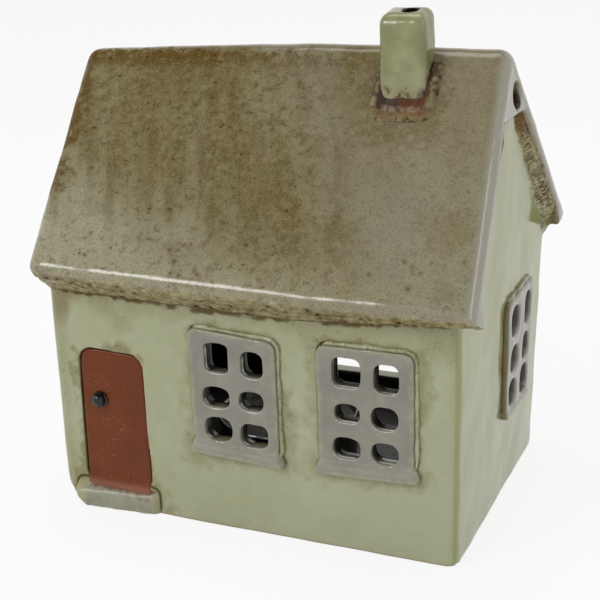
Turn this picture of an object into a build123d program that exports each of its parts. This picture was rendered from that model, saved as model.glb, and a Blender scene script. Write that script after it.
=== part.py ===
"""Slab-built stoneware tealight house, in millimetres.

The house stands on z = 0 with its front (door and two windows) towards -Y.
The origin is the middle of the base. Walls, roof, chimney, door, step and
windows are separate clay slabs, luted together before firing. The tealight
is loose: it goes in and out through the arch in the back wall.
"""
import os
from math import atan2, cos, sin, tan

from build123d import *

os.makedirs("parts", exist_ok=True)

# Body slabs: the walls stand in from the roof's ends by verge_overhang
verge_overhang = 3.25
wall_depth = 76.0
wall_thick = 5.5
floor_thick = 7.0
corner_round = 3.0
base_round = 2.0

# Roof slabs: under each eave a roll of clay fills the corner down to the wall
# eave_overhang and eave_height place the eave's nose, and the roll's foot lies eave_roll_drop below it
eave_overhang = 8.6
eave_height = 66.6
eave_roll_drop = 7.1
roof_thick = 5.0
roof_length = 116.5
roof_lean = 4.2
ridge_round = 5.0
roof_edge_round = 2.5

# Vent webs under the ridge at both gable ends
web_height = 10.0
vent_bore = 6.0
vent_rise = 3.6

# Chimney, standing on the front slope with its back at the ridge line
# Its top is the height of the house, and it stands chimney_stand above the line where the slopes meet
chimney_place_share = 0.288
chimney_width = 11.6
chimney_depth = 8.8
chimney_top = 127.8
chimney_stand = 8.15
chimney_edge_round = 1.6
chimney_top_round = 2.4
flue_bore = 4.8
collar_reach = 3.6
collar_rise = 2.4
collar_corner_round = 3.4
collar_edge_round = 1.6

# Door, knob and step
door_place_share = -0.348
door_width = 19.0
door_height = 38.0
door_thick = 1.8
door_sink = 0.6
door_corner_round = 3.6
knob_radius = 2.1
knob_stand = 0.8
knob_side_margin = 5.7
knob_rise = 24.6
step_width = 26.0
step_height = 5.4
step_reach = 6.0
step_corner_round = 4.5
step_edge_round = 1.6

# Window panels: two columns of three panes, pierced through panel and wall
pane_width = 6.5
bottom_pane_height = 6.0
middle_pane_height = 5.0
top_pane_height = 7.3
pane_corner_round = 1.8
glazing_bar = 3.6
panel_margin = 3.8
panel_foot_margin = 2.4
panel_head_margin = 2.8
panel_thick = 2.2
panel_inset = 1.2
panel_corner_round = 1.8
sill_overhang = 1.4
sill_height = 3.4
sill_reach = 2.6
sill_round = 1.2
left_window_place_share = -0.0255
right_window_place_share = 0.2955
front_window_foot = 22.0
gable_window_place_share = 0.1316
gable_window_foot = 22.0

# Arched opening for the tealight in the back wall
arch_width = 48.0
arch_threshold = 15.0
arch_springing = 30.0
arch_edge_round = 1.2

# Tealight
cup_diameter = 38.0
cup_height = 16.0
cup_wall = 0.5
cup_foot_round = 1.2
cup_front_gap = 1.5
wax_height = 12.6
wick_diameter = 1.8
wick_stand = 5.0
sustainer_diameter = 12.0
sustainer_thick = 0.5
stem_diameter = 3.4
stem_height = 4.0

# Clearances: slip joint round an inset slab, fit inside the tealight, seat of the cup
slip_gap = 0.15
fit_gap = 0.1
seat_gap = 0.2

# Places that follow from the sizes above
wall_width = roof_length - 2 * verge_overhang
half_width = wall_width / 2
half_depth = wall_depth / 2
inner_half_width = half_width - wall_thick
inner_half_depth = half_depth - wall_thick
half_span = half_depth + eave_overhang
crest_height = chimney_top - chimney_stand
pitch = atan2(crest_height - eave_height, half_span)
roof_plumb = roof_thick / cos(pitch)
ridge_underside = crest_height - roof_plumb
eave_roll_foot = eave_height - eave_roll_drop
lean_ratio = roof_lean / (crest_height - eave_height)
ridge_top = crest_height - ridge_round * (1 / cos(pitch) - 1)
ridge_arc_run = ridge_round * sin(pitch)
ridge_arc_end = ridge_top - ridge_round * (1 - cos(pitch))
ridge_arc_mid_run = ridge_round * sin(pitch / 2)
ridge_arc_mid = ridge_top - ridge_round * (1 - cos(pitch / 2))
chimney_x = wall_width * chimney_place_share
chimney_y = -chimney_depth / 2
door_x = wall_width * door_place_share
door_face = -half_depth + door_sink
panel_width = 2 * (pane_width + panel_margin) + glazing_bar
panel_height = (
    panel_foot_margin
    + bottom_pane_height
    + middle_pane_height
    + top_pane_height
    + 2 * glazing_bar
    + panel_head_margin
)
left_window_x = wall_width * left_window_place_share
right_window_x = wall_width * right_window_place_share
gable_window_y = wall_depth * gable_window_place_share
tealight_y = -(inner_half_depth - cup_front_gap - cup_diameter / 2)
cup_foot = floor_thick + seat_gap
wax_foot = cup_foot + cup_wall + fit_gap
wax_top = wax_foot + wax_height

right_verge = Plane(
    origin=(roof_length / 2 + roof_lean / 2, 0, eave_height),
    z_dir=(1, 0, lean_ratio),
)
left_verge = Plane(
    origin=(-roof_length / 2 + roof_lean / 2, 0, eave_height),
    z_dir=(-1, 0, -lean_ratio),
)
front_half = Plane(origin=(0, 0, 0), z_dir=(0, -1, 0))
back_half = Plane(origin=(0, 0, 0), z_dir=(0, 1, 0))

# Each window's plane lies in the outer wall face, at the middle of the panel's foot
window_planes = {
    "front_left": Plane(
        origin=(left_window_x, -half_depth, front_window_foot), x_dir=(1, 0, 0), z_dir=(0, -1, 0)
    ),
    "front_right": Plane(
        origin=(right_window_x, -half_depth, front_window_foot), x_dir=(1, 0, 0), z_dir=(0, -1, 0)
    ),
    "right_gable": Plane(
        origin=(half_width, gable_window_y, gable_window_foot), x_dir=(0, 1, 0), z_dir=(1, 0, 0)
    ),
    "left_gable": Plane(
        origin=(-half_width, gable_window_y, gable_window_foot), x_dir=(0, -1, 0), z_dir=(-1, 0, 0)
    ),
}


def underside(y):
    """Height of the roof's underside at a distance y from the ridge line."""
    return ridge_underside - abs(y) * tan(pitch)


def slope_top(y):
    """Height of the roof's sloping top face at a distance y from the ridge line."""
    return crest_height - abs(y) * tan(pitch)


def on_crown(edge):
    """True for an edge of the roof slab that lies above a third of its thickness."""
    return edge.center().Z > underside(edge.center().Y) + roof_plumb / 3


def save(piece, name):
    """Label a finished piece and write it as its own STEP file."""
    piece.part.label = name
    export_step(piece.part, f"parts/{name}.step")


def long_wall_section(outer, inner):
    """Upright slab seen from the side, its top bevelled to lie under the roof slab."""
    with BuildSketch(Plane.YZ) as section:
        with BuildLine():
            Polyline(
                (outer, 0),
                (outer, underside(outer)),
                (inner, underside(inner)),
                (inner, 0),
                close=True,
            )
        make_face()
    return section.sketch


def panel_outline(plane, gap):
    """Outline of a window panel, grown by a gap all round."""
    middle = (0, panel_height / 2)
    with BuildSketch(plane) as outline:
        with Locations(middle):
            RectangleRounded(panel_width + 2 * gap, panel_height + 2 * gap, panel_corner_round + gap)
    return outline.sketch


def pane_outlines(plane):
    """The six panes of one window, in rows from the foot up."""
    column = (pane_width + glazing_bar) / 2
    with BuildSketch(plane) as panes:
        row_foot = panel_foot_margin
        for pane_height in (bottom_pane_height, middle_pane_height, top_pane_height):
            row_middle = row_foot + pane_height / 2
            with Locations((-column, row_middle), (column, row_middle)):
                RectangleRounded(pane_width, pane_height, pane_corner_round)
            row_foot += pane_height + glazing_bar
    return panes.sketch


def door_outline(gap):
    """Door with rounded top corners, standing level with the top of the step."""
    plane = Plane(origin=(door_x, -half_depth, step_height), x_dir=(1, 0, 0), z_dir=(0, -1, 0))
    with BuildSketch(plane) as outline:
        with Locations((0, -gap)):
            Rectangle(
                door_width + 2 * gap,
                door_height + 2 * gap,
                align=(Align.CENTER, Align.MIN),
            )
        fillet(outline.vertices().group_by(Axis.Y)[-1], door_corner_round + gap)
    return outline.sketch


# Floor slab, inside the four walls
with BuildPart() as floor_slab:
    with BuildSketch(Plane.XY):
        Rectangle(2 * inner_half_width, 2 * inner_half_depth)
    extrude(amount=floor_thick)
save(floor_slab, "floor_slab")

# Front wall: rounded outer corners, a shallow door bed, two window beds and their panes
with BuildPart() as front_wall:
    extrude(long_wall_section(-half_depth, -inner_half_depth), amount=half_width, both=True)
    fillet(front_wall.edges().filter_by(Axis.Z).group_by(Axis.Y)[0], corner_round)
    fillet(front_wall.edges().group_by(Axis.Z)[0].sort_by(Axis.Y)[:-1], base_round)
    extrude(door_outline(slip_gap), amount=-(door_thick + door_sink), mode=Mode.SUBTRACT)
    for window in ("front_left", "front_right"):
        extrude(
            panel_outline(window_planes[window], slip_gap), amount=-panel_inset, mode=Mode.SUBTRACT
        )
        extrude(pane_outlines(window_planes[window]), amount=-wall_thick, mode=Mode.SUBTRACT)
save(front_wall, "front_wall")

# Back wall: same slab, with the arch that the tealight goes through
with BuildPart() as back_wall:
    extrude(long_wall_section(half_depth, inner_half_depth), amount=half_width, both=True)
    fillet(back_wall.edges().filter_by(Axis.Z).group_by(Axis.Y)[-1], corner_round)
    fillet(back_wall.edges().group_by(Axis.Z)[0].sort_by(Axis.Y)[1:], base_round)
    with BuildSketch(Plane(origin=(0, half_depth, 0), x_dir=(-1, 0, 0), z_dir=(0, 1, 0))):
        with BuildLine():
            Polyline(
                (-arch_width / 2, arch_springing),
                (-arch_width / 2, arch_threshold),
                (arch_width / 2, arch_threshold),
                (arch_width / 2, arch_springing),
            )
            ThreePointArc(
                (arch_width / 2, arch_springing),
                (0, arch_springing + arch_width / 2),
                (-arch_width / 2, arch_springing),
            )
        make_face()
    extrude(amount=-wall_thick, mode=Mode.SUBTRACT)
    arch_rims = back_wall.faces().filter_by(Axis.Y).sort_by(SortBy.AREA)[-2:]
    for rim in arch_rims:
        fillet(rim.inner_wires().edges(), arch_edge_round)
save(back_wall, "back_wall")

# Gable walls: pentagons between the long walls, with one window and a vent under the ridge
vent_height = ridge_underside - web_height + vent_rise
gable_sides = {"right_gable": 1, "left_gable": -1}
for gable, side in gable_sides.items():
    with BuildPart() as gable_wall:
        with BuildSketch(Plane.YZ.offset(side * inner_half_width)):
            with BuildLine():
                Polyline(
                    (-inner_half_depth, 0),
                    (-inner_half_depth, underside(inner_half_depth)),
                    (0, ridge_underside),
                    (inner_half_depth, underside(inner_half_depth)),
                    (inner_half_depth, 0),
                    close=True,
                )
            make_face()
        extrude(amount=side * wall_thick)
        outer_face = gable_wall.faces().filter_by(Axis.X).sort_by(Axis.X)[-1 if side > 0 else 0]
        fillet(outer_face.edges().sort_by(Axis.Z)[0], base_round)
        extrude(
            panel_outline(window_planes[gable], slip_gap), amount=-panel_inset, mode=Mode.SUBTRACT
        )
        extrude(pane_outlines(window_planes[gable]), amount=-wall_thick, mode=Mode.SUBTRACT)
        with BuildSketch(Plane.YZ.offset(side * inner_half_width)):
            with Locations((0, vent_height)):
                Circle(vent_bore / 2)
        extrude(amount=side * wall_thick, mode=Mode.SUBTRACT)
    save(gable_wall, f"{gable}_wall")

    # Triangular web between the two roof slabs, flush with their ends, with the vent through it
    with BuildPart() as vent_web:
        web_half = web_height / tan(pitch)
        web_foot = ridge_underside - web_height
        with BuildSketch(Plane.YZ.offset(side * half_width)):
            with BuildLine():
                Polyline((-web_half, web_foot), (0, ridge_underside), (web_half, web_foot), close=True)
            make_face()
            with Locations((0, vent_height)):
                Circle(vent_bore / 2, mode=Mode.SUBTRACT)
        extrude(amount=side * roof_length)
        split(bisect_by=right_verge if side > 0 else left_verge, keep=Keep.BOTTOM)
    save(vent_web, f"{gable}_vent_web")

# Roof slabs: one tent with a roll under each eave, rounded along its edges, mitred apart at the ridge
for name, half in {"roof_front_slope": front_half, "roof_back_slope": back_half}.items():
    with BuildPart() as roof_slope:
        with BuildSketch(Plane.YZ):
            with BuildLine():
                Polyline(
                    (ridge_arc_run, ridge_arc_end),
                    (half_span, eave_height),
                    (half_depth, eave_roll_foot),
                    (half_depth, underside(half_depth)),
                    (0, ridge_underside),
                    (-half_depth, underside(half_depth)),
                    (-half_depth, eave_roll_foot),
                    (-half_span, eave_height),
                    (-ridge_arc_run, ridge_arc_end),
                )
                ThreePointArc(
                    (-ridge_arc_run, ridge_arc_end), (0, ridge_top), (ridge_arc_run, ridge_arc_end)
                )
            make_face()
        extrude(amount=roof_length, both=True)
        split(bisect_by=right_verge, keep=Keep.BOTTOM)
        split(bisect_by=left_verge, keep=Keep.BOTTOM)
        end_faces = roof_slope.faces().sort_by(Axis.X)
        crown_edges = (end_faces[0].edges() + end_faces[-1].edges()).filter_by(on_crown)
        long_edges = roof_slope.edges().filter_by(Axis.X).sort_by(Axis.Y)
        fillet(crown_edges + long_edges[:1] + long_edges[-1:], roof_edge_round)
        split(bisect_by=half, keep=Keep.TOP)
        if half is front_half:
            with Locations((chimney_x, chimney_y, crest_height)):
                Hole(flue_bore / 2)
    save(roof_slope, name)

# Chimney: rounded block whose foot follows the front slope up to the ridge, with a flue
with BuildPart() as chimney:
    with BuildSketch(Plane.YZ.offset(chimney_x)):
        with BuildLine():
            Polyline(
                (0, ridge_top),
                (0, chimney_top),
                (-chimney_depth, chimney_top),
                (-chimney_depth, slope_top(chimney_depth)),
                (-ridge_arc_run, ridge_arc_end),
            )
            ThreePointArc(
                (-ridge_arc_run, ridge_arc_end), (-ridge_arc_mid_run, ridge_arc_mid), (0, ridge_top)
            )
        make_face()
    extrude(amount=chimney_width / 2, both=True)
    fillet(chimney.edges().filter_by(Axis.Z), chimney_edge_round)
    fillet(chimney.edges().group_by(Axis.Z)[-1], chimney_top_round)
    with Locations((chimney_x, chimney_y, chimney_top)):
        Hole(flue_bore / 2)
save(chimney, "chimney")

# Collar: clay roll pressed round the chimney's foot, open at the ridge side
with BuildPart() as chimney_collar:
    collar_length = (chimney_depth - ridge_arc_run) / cos(pitch)
    collar_plane = Plane(
        origin=(chimney_x, -chimney_depth, slope_top(chimney_depth)),
        x_dir=(1, 0, 0),
        z_dir=(0, -sin(pitch), cos(pitch)),
    )
    with BuildSketch(collar_plane) as collar_foot:
        with Locations((0, collar_length)):
            Rectangle(
                chimney_width + 2 * collar_reach,
                collar_length + collar_reach,
                align=(Align.CENTER, Align.MAX),
            )
        fillet(collar_foot.vertices().group_by(Axis.Y)[0], collar_corner_round)
    extrude(amount=collar_rise)
    rolled_edges = chimney_collar.faces().filter_by(collar_plane).sort_by(Axis.Z)[-1].edges()
    fillet(rolled_edges.sort_by(Axis.Z)[:-1], collar_edge_round)
    with BuildSketch(Plane.XY.offset(slope_top(chimney_depth + collar_reach))):
        with Locations((chimney_x, chimney_y)):
            RectangleRounded(
                chimney_width + 2 * slip_gap,
                chimney_depth + 2 * slip_gap,
                chimney_edge_round + slip_gap,
            )
    extrude(amount=chimney_top, mode=Mode.SUBTRACT)
save(chimney_collar, "chimney_collar")

# Door slab, let into its bed in the front wall
with BuildPart() as door:
    extrude(door_outline(0), amount=-(door_thick + door_sink))
    split(bisect_by=Plane(origin=(0, door_face, 0), z_dir=(0, -1, 0)), keep=Keep.BOTTOM)
save(door, "door")

# Knob: a small ball pressed flat against the door
with BuildPart() as door_knob:
    knob_x = door_x - door_width / 2 + knob_side_margin
    with Locations((knob_x, door_face - knob_stand, step_height + knob_rise)):
        Sphere(knob_radius)
    split(bisect_by=Plane(origin=(0, door_face, 0), z_dir=(0, -1, 0)), keep=Keep.TOP)
save(door_knob, "door_knob")

# Step: rounded slab luted to the foot of the wall below the door
with BuildPart() as door_step:
    with BuildSketch(Plane.XY) as step_plan:
        with Locations((door_x, -half_depth)):
            Rectangle(step_width, step_reach, align=(Align.CENTER, Align.MAX))
        fillet(step_plan.vertices().group_by(Axis.Y)[0], step_corner_round)
    extrude(amount=step_height)
    tread = door_step.faces().sort_by(Axis.Z)[-1]
    fillet(tread.edges().sort_by(Axis.Y)[:-1], step_edge_round)
save(door_step, "door_step")

# Windows: a pierced panel let into the wall, and a sill strip under it
for window, plane in window_planes.items():
    with BuildPart() as window_panel:
        extrude(panel_outline(plane.offset(-panel_inset), 0), amount=panel_thick)
        extrude(
            pane_outlines(plane.offset(-panel_inset)), amount=panel_thick, mode=Mode.SUBTRACT
        )
    save(window_panel, f"{window}_window")

    with BuildPart() as window_sill:
        with BuildSketch(plane):
            with Locations((0, -slip_gap)):
                RectangleRounded(
                    panel_width + 2 * sill_overhang,
                    sill_height,
                    sill_round,
                    align=(Align.CENTER, Align.MAX),
                )
        extrude(amount=sill_reach)
    save(window_sill, f"{window}_sill")

# Tealight cup: thin drawn aluminium
with BuildPart() as tealight_cup:
    with BuildSketch(Plane.XY.offset(cup_foot)):
        with Locations((0, tealight_y)):
            Circle(cup_diameter / 2)
    extrude(amount=cup_height)
    fillet(tealight_cup.edges().group_by(Axis.Z)[0], cup_foot_round)
    with BuildSketch(Plane.XY.offset(cup_foot + cup_wall)):
        with Locations((0, tealight_y)):
            Circle(cup_diameter / 2 - cup_wall)
    extrude(amount=cup_height, mode=Mode.SUBTRACT)
save(tealight_cup, "tealight_cup")

# Wick sustainer: a disc with a short crimped stem, under the wax
with BuildPart() as wick_sustainer:
    with BuildSketch(Plane.XY.offset(wax_foot)):
        with Locations((0, tealight_y)):
            Circle(sustainer_diameter / 2)
    extrude(amount=sustainer_thick)
    with BuildSketch(Plane.XY.offset(wax_foot)):
        with Locations((0, tealight_y)):
            Circle(stem_diameter / 2)
    extrude(amount=stem_height)
    with BuildSketch(Plane.XY.offset(wax_foot + sustainer_thick)):
        with Locations((0, tealight_y)):
            Circle(wick_diameter / 2 + fit_gap)
    extrude(amount=stem_height, mode=Mode.SUBTRACT)
save(wick_sustainer, "wick_sustainer")

# Wax: poured round the sustainer and wick
with BuildPart() as tealight_wax:
    with BuildSketch(Plane.XY.offset(wax_foot)):
        with Locations((0, tealight_y)):
            Circle(cup_diameter / 2 - cup_wall - fit_gap)
    extrude(amount=wax_height)
    with BuildSketch(Plane.XY.offset(wax_foot)):
        with Locations((0, tealight_y)):
            Circle(sustainer_diameter / 2 + fit_gap)
    extrude(amount=sustainer_thick + fit_gap, mode=Mode.SUBTRACT)
    with BuildSketch(Plane.XY.offset(wax_foot)):
        with Locations((0, tealight_y)):
            Circle(stem_diameter / 2 + fit_gap)
    extrude(amount=stem_height + fit_gap, mode=Mode.SUBTRACT)
    with BuildSketch(Plane.XY.offset(wax_foot)):
        with Locations((0, tealight_y)):
            Circle(wick_diameter / 2 + fit_gap)
    extrude(amount=wax_height, mode=Mode.SUBTRACT)
save(tealight_wax, "tealight_wax")

# Wick: waxed cotton standing in the sustainer's stem
with BuildPart() as tealight_wick:
    wick_foot = wax_foot + sustainer_thick
    with BuildSketch(Plane.XY.offset(wick_foot)):
        with Locations((0, tealight_y)):
            Circle(wick_diameter / 2)
    extrude(amount=wax_top + wick_stand - wick_foot)
save(tealight_wick, "tealight_wick")
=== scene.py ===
import math

import bpy
import numpy as np
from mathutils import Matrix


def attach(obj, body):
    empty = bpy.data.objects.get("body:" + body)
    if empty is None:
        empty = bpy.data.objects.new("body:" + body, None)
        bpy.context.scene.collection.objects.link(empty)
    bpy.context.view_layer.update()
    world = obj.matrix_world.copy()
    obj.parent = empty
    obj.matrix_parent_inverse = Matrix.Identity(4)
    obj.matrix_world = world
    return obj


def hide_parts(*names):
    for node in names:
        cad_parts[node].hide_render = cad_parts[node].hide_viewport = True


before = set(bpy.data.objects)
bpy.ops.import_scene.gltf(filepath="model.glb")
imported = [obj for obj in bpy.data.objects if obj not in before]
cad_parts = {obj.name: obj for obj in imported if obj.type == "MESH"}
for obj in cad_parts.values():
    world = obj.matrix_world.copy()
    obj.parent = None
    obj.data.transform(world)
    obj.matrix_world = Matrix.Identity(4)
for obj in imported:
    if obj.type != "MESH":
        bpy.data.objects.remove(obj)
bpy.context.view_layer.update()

# Floor slab
# A plain slab of stoneware that the walls stand round, grey glazed on top.
# It keeps its CAD shape, because only its top shows through the panes and the arch.
mm = 0.001


def tone(red, green, blue):
    """A colour given as screen values from 0 to 255, in Blender's linear terms."""
    linear = []
    for screen in (red / 255, green / 255, blue / 255):
        linear.append(screen / 12.92 if screen < 0.04045 else ((screen + 0.055) / 1.055) ** 2.4)
    return (*linear, 1)


def put(tree, kind, *sockets, **settings):
    """Add a node with its settings, and fill or link its input sockets."""
    node = tree.nodes.new("ShaderNode" + kind)
    for setting, value in settings.items():
        setattr(node, setting, value)
    for socket, value in sockets:
        if isinstance(value, bpy.types.NodeSocket):
            tree.links.new(value, node.inputs[socket])
        else:
            node.inputs[socket].default_value = value
    return node


def calc(tree, operation, first, second=0.0):
    """One sum of two values."""
    return put(tree, "Math", (0, first), (1, second), operation=operation).outputs[0]


def ramp(tree, value, low, high, top=1.0):
    """A soft step from 0 at low to top at high."""
    sockets = ((0, value), (1, low), (2, high), (3, 0.0), (4, top))
    return put(tree, "MapRange", *sockets, interpolation_type="SMOOTHSTEP").outputs[0]


def over(tree, mask, under, upper):
    """One colour laid over another through a mask."""
    return put(tree, "Mix", (0, mask), (6, under), (7, upper), data_type="RGBA").outputs[2]


def start_group(name, inputs, outputs):
    """An empty shader group with named sockets."""
    group = bpy.data.node_groups.new(name, "ShaderNodeTree")
    for label, kind, value in inputs:
        socket = group.interface.new_socket(
            name=label, in_out="INPUT", socket_type="NodeSocket" + kind
        )
        socket.default_value = value
    for label in outputs:
        group.interface.new_socket(name=label, in_out="OUTPUT", socket_type="NodeSocketFloat")
    return group, group.nodes.new("NodeGroupInput").outputs, group.nodes.new("NodeGroupOutput").inputs


# Clouds: soft uneven patches, as where glaze lies thick and thin
clouds, given, made = start_group(
    "glaze_clouds",
    (
        ("Size", "Float", 20.0),
        ("Stretch", "Vector", (1, 1, 1)),
        ("Slant", "Float", 0.0),
        ("Detail", "Float", 3.0),
    ),
    ("Cloud",),
)
spot = put(clouds, "TexCoord").outputs["Object"]
sides = put(clouds, "SeparateXYZ", (0, spot)).outputs
aslant = calc(clouds, "ADD", sides[0], calc(clouds, "MULTIPLY", sides[2], given["Slant"]))
spot = put(clouds, "CombineXYZ", (0, aslant), (1, sides[1]), (2, sides[2])).outputs[0]
spot = put(clouds, "VectorMath", (0, spot), (1, given["Stretch"]), operation="MULTIPLY").outputs[0]
repeat = calc(clouds, "DIVIDE", 1000.0, given["Size"])
noise = put(
    clouds, "TexNoise", ("Vector", spot), ("Scale", repeat), ("Detail", given["Detail"])
).outputs[0]
clouds.links.new(ramp(clouds, noise, 0.32, 0.68), made["Cloud"])

# Specks: iron grains that bleed through the glaze, thicker in some places
specks, given, made = start_group(
    "iron_specks",
    (
        ("Size", "Float", 1.0),
        ("Stretch", "Vector", (1, 1, 1)),
        ("Sparse", "Float", 0.68),
        ("Gather", "Float", 0.3),
    ),
    ("Speck",),
)
spot = put(specks, "TexCoord").outputs["Object"]
spot = put(specks, "VectorMath", (0, spot), (1, given["Stretch"]), operation="MULTIPLY").outputs[0]
repeat = calc(specks, "DIVIDE", 1000.0, given["Size"])
fine = put(specks, "TexNoise", ("Vector", spot), ("Scale", repeat), ("Detail", 2.0)).outputs[0]
repeat = calc(specks, "DIVIDE", repeat, 11.0)
broad = put(specks, "TexNoise", ("Vector", spot), ("Scale", repeat), ("Detail", 2.0)).outputs[0]
lift = calc(specks, "MULTIPLY", calc(specks, "SUBTRACT", broad, 0.5), given["Gather"])
level = calc(specks, "SUBTRACT", calc(specks, "ADD", fine, lift), given["Sparse"])
specks.links.new(ramp(specks, level, -0.02, 0.1), made["Speck"])

# Dots: round iron spots of uneven size, each with a soft halo, in a share of the cells
dots, given, made = start_group(
    "iron_dots",
    (("Size", "Float", 2.0), ("Stretch", "Vector", (1, 1, 1)), ("Share", "Float", 0.3)),
    ("Dot", "Halo"),
)
spot = put(dots, "TexCoord").outputs["Object"]
spot = put(dots, "VectorMath", (0, spot), (1, given["Stretch"]), operation="MULTIPLY").outputs[0]
repeat = calc(dots, "DIVIDE", 1000.0, given["Size"])
cells = put(dots, "TexVoronoi", ("Vector", spot), ("Scale", repeat)).outputs
chance = put(dots, "SeparateColor", (0, cells["Color"])).outputs
present = calc(dots, "LESS_THAN", chance[0], given["Share"])
radius = calc(dots, "ADD", calc(dots, "MULTIPLY", chance[1], 0.26), 0.12)
dot = put(dots, "MapRange", (0, cells["Distance"]), (1, radius), (2, calc(dots, "MULTIPLY", radius, 0.45)))
halo = put(dots, "MapRange", (0, cells["Distance"]), (1, calc(dots, "MULTIPLY", radius, 2.6)), (2, radius))
dots.links.new(calc(dots, "MULTIPLY", dot.outputs[0], present), made["Dot"])
dots.links.new(calc(dots, "MULTIPLY", halo.outputs[0], present), made["Halo"])

# Grain: the sandy skin of the clay under the glaze
grain, given, made = start_group("sandy_grain", (("Size", "Float", 0.7),), ("Grain",))
spot = put(grain, "TexCoord").outputs["Object"]
repeat = calc(grain, "DIVIDE", 1000.0, given["Size"])
noise = put(
    grain, "TexNoise", ("Vector", spot), ("Scale", repeat), ("Detail", 4.0), ("Roughness", 0.75)
).outputs[0]
grain.links.new(ramp(grain, noise, 0.3, 0.7), made["Grain"])

# Joint: distance in mm from a box, less than nothing inside it
joint, given, made = start_group(
    "slab_joint", (("Middle", "Vector", (0, 0, 0)), ("Half", "Vector", (1, 1, 1))), ("Distance",)
)
spot = put(joint, "TexCoord").outputs["Object"]
spot = put(joint, "VectorMath", (0, spot), (3, 1000.0), operation="SCALE").outputs[0]
spot = put(joint, "VectorMath", (0, spot), (1, given["Middle"]), operation="SUBTRACT").outputs[0]
spot = put(joint, "VectorMath", (0, spot), operation="ABSOLUTE").outputs[0]
spot = put(joint, "VectorMath", (0, spot), (1, given["Half"]), operation="SUBTRACT").outputs[0]
beyond = put(joint, "VectorMath", (0, spot), (1, (0, 0, 0)), operation="MAXIMUM").outputs[0]
beyond = put(joint, "VectorMath", (0, beyond), operation="LENGTH").outputs["Value"]
sides = put(joint, "SeparateXYZ", (0, spot)).outputs
within = calc(joint, "MAXIMUM", calc(joint, "MAXIMUM", sides[0], sides[1]), sides[2])
within = calc(joint, "MINIMUM", within, 0.0)
joint.links.new(calc(joint, "ADD", beyond, within), made["Distance"])


def new_glaze(name, roughness, bump):
    """A material with one glossy shader and a bump."""
    material = bpy.data.materials.new(name)
    material.use_nodes = True
    tree = material.node_tree
    shader = tree.nodes["Principled BSDF"]
    shader.inputs["Roughness"].default_value = roughness
    relief = put(tree, "Bump", ("Strength", 1.0), ("Distance", bump * mm))
    tree.links.new(relief.outputs[0], shader.inputs["Normal"])
    return material, tree, shader, relief.inputs["Height"]


def use(tree, group, output, *sockets):
    """The output of a shared group, with its own values."""
    return put(tree, "Group", *sockets, node_tree=group).outputs[output]


def stain(tree, colour, mask, share, *screen):
    """A colour stained through a mask, at most by a share."""
    return over(tree, calc(tree, "MULTIPLY", mask, share), colour, tone(*screen))


floor_glaze, tree, shader, height = new_glaze("floor_grey_glaze", 0.3, 0.05)
patches = use(tree, clouds, "Cloud", ("Size", 18.0))
sand = use(tree, grain, "Grain", ("Size", 0.8))
iron = use(tree, specks, "Speck", ("Size", 1.1), ("Sparse", 0.66))
colour = over(tree, patches, tone(112, 106, 106), tone(134, 129, 124))
colour = over(tree, calc(tree, "MULTIPLY", sand, 0.25), colour, tone(92, 86, 80))
colour = over(tree, iron, colour, tone(62, 50, 38))
tree.links.new(colour, shader.inputs["Base Color"])
tree.links.new(sand, height)
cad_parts["floor_slab"].data.materials.clear()
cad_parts["floor_slab"].data.materials.append(floor_glaze)

# Walls
# Four slabs of stoneware, luted at the corners and sponged smooth, then dipped in celadon glaze.
# They are shaped as one shell, so that the glaze runs on round the corners, and then cut apart.
half_width, half_depth = 55.0, 38.0
inner_width, inner_depth = 49.5, 32.5
ridge_underside = 112.07
pitch = math.radians(48.7)
uphill, upright = math.sin(pitch), math.cos(pitch)
vent_height, vent_radius = 106.0, 3.1
window_foot = 22.9


def deselect():
    """Leave edit mode and select nothing."""
    if bpy.context.object and bpy.context.object.mode != "OBJECT":
        bpy.ops.object.mode_set(mode="OBJECT")
    bpy.ops.object.select_all(action="DESELECT")


def take(piece):
    """Select one piece and make it active."""
    deselect()
    piece.select_set(True)
    bpy.context.view_layer.objects.active = piece


def settle(piece):
    """Put the piece's place and turn into its mesh."""
    take(piece)
    bpy.ops.object.transform_apply(location=True, rotation=True, scale=True)


def block(name, low, high):
    """A block of clay between two corners, in mm."""
    deselect()
    bpy.ops.mesh.primitive_cube_add(size=1)
    piece = bpy.context.object
    piece.name = name
    piece.data.name = name
    piece.location = [(a + b) / 2 * mm for a, b in zip(low, high)]
    piece.scale = [(b - a) * mm for a, b in zip(low, high)]
    settle(piece)
    return piece


def rod(name, start, end, radius, steps=24):
    """A round bar along x, y or z between two points, in mm."""
    deselect()
    run = [b - a for a, b in zip(start, end)]
    turn = (0, math.pi / 2, 0) if run[0] else (math.pi / 2, 0, 0) if run[1] else (0, 0, 0)
    bpy.ops.mesh.primitive_cylinder_add(
        vertices=steps, radius=radius * mm, depth=sum(run) * mm, rotation=turn
    )
    piece = bpy.context.object
    piece.name = name
    piece.location = [(a + b) / 2 * mm for a, b in zip(start, end)]
    settle(piece)
    return piece


def twin(piece, name):
    """A copy of a piece with its own mesh."""
    deselect()
    copy = piece.copy()
    copy.data = piece.data.copy()
    copy.name = name
    copy.data.name = name
    bpy.context.collection.objects.link(copy)
    return copy


def work(piece, kind, **settings):
    """Put a modifier on a piece and apply it."""
    take(piece)
    modifier = piece.modifiers.new(kind.lower(), kind)
    for setting, value in settings.items():
        setattr(modifier, setting, value)
    bpy.ops.object.modifier_apply(modifier=modifier.name)


def carve(piece, *tools, operation="DIFFERENCE", keep=False):
    """Cut tools out of a piece, or join them to it."""
    for tool in tools:
        work(piece, "BOOLEAN", operation=operation, object=tool, solver="MANIFOLD")
        if not keep:
            bpy.data.objects.remove(tool)


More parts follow.
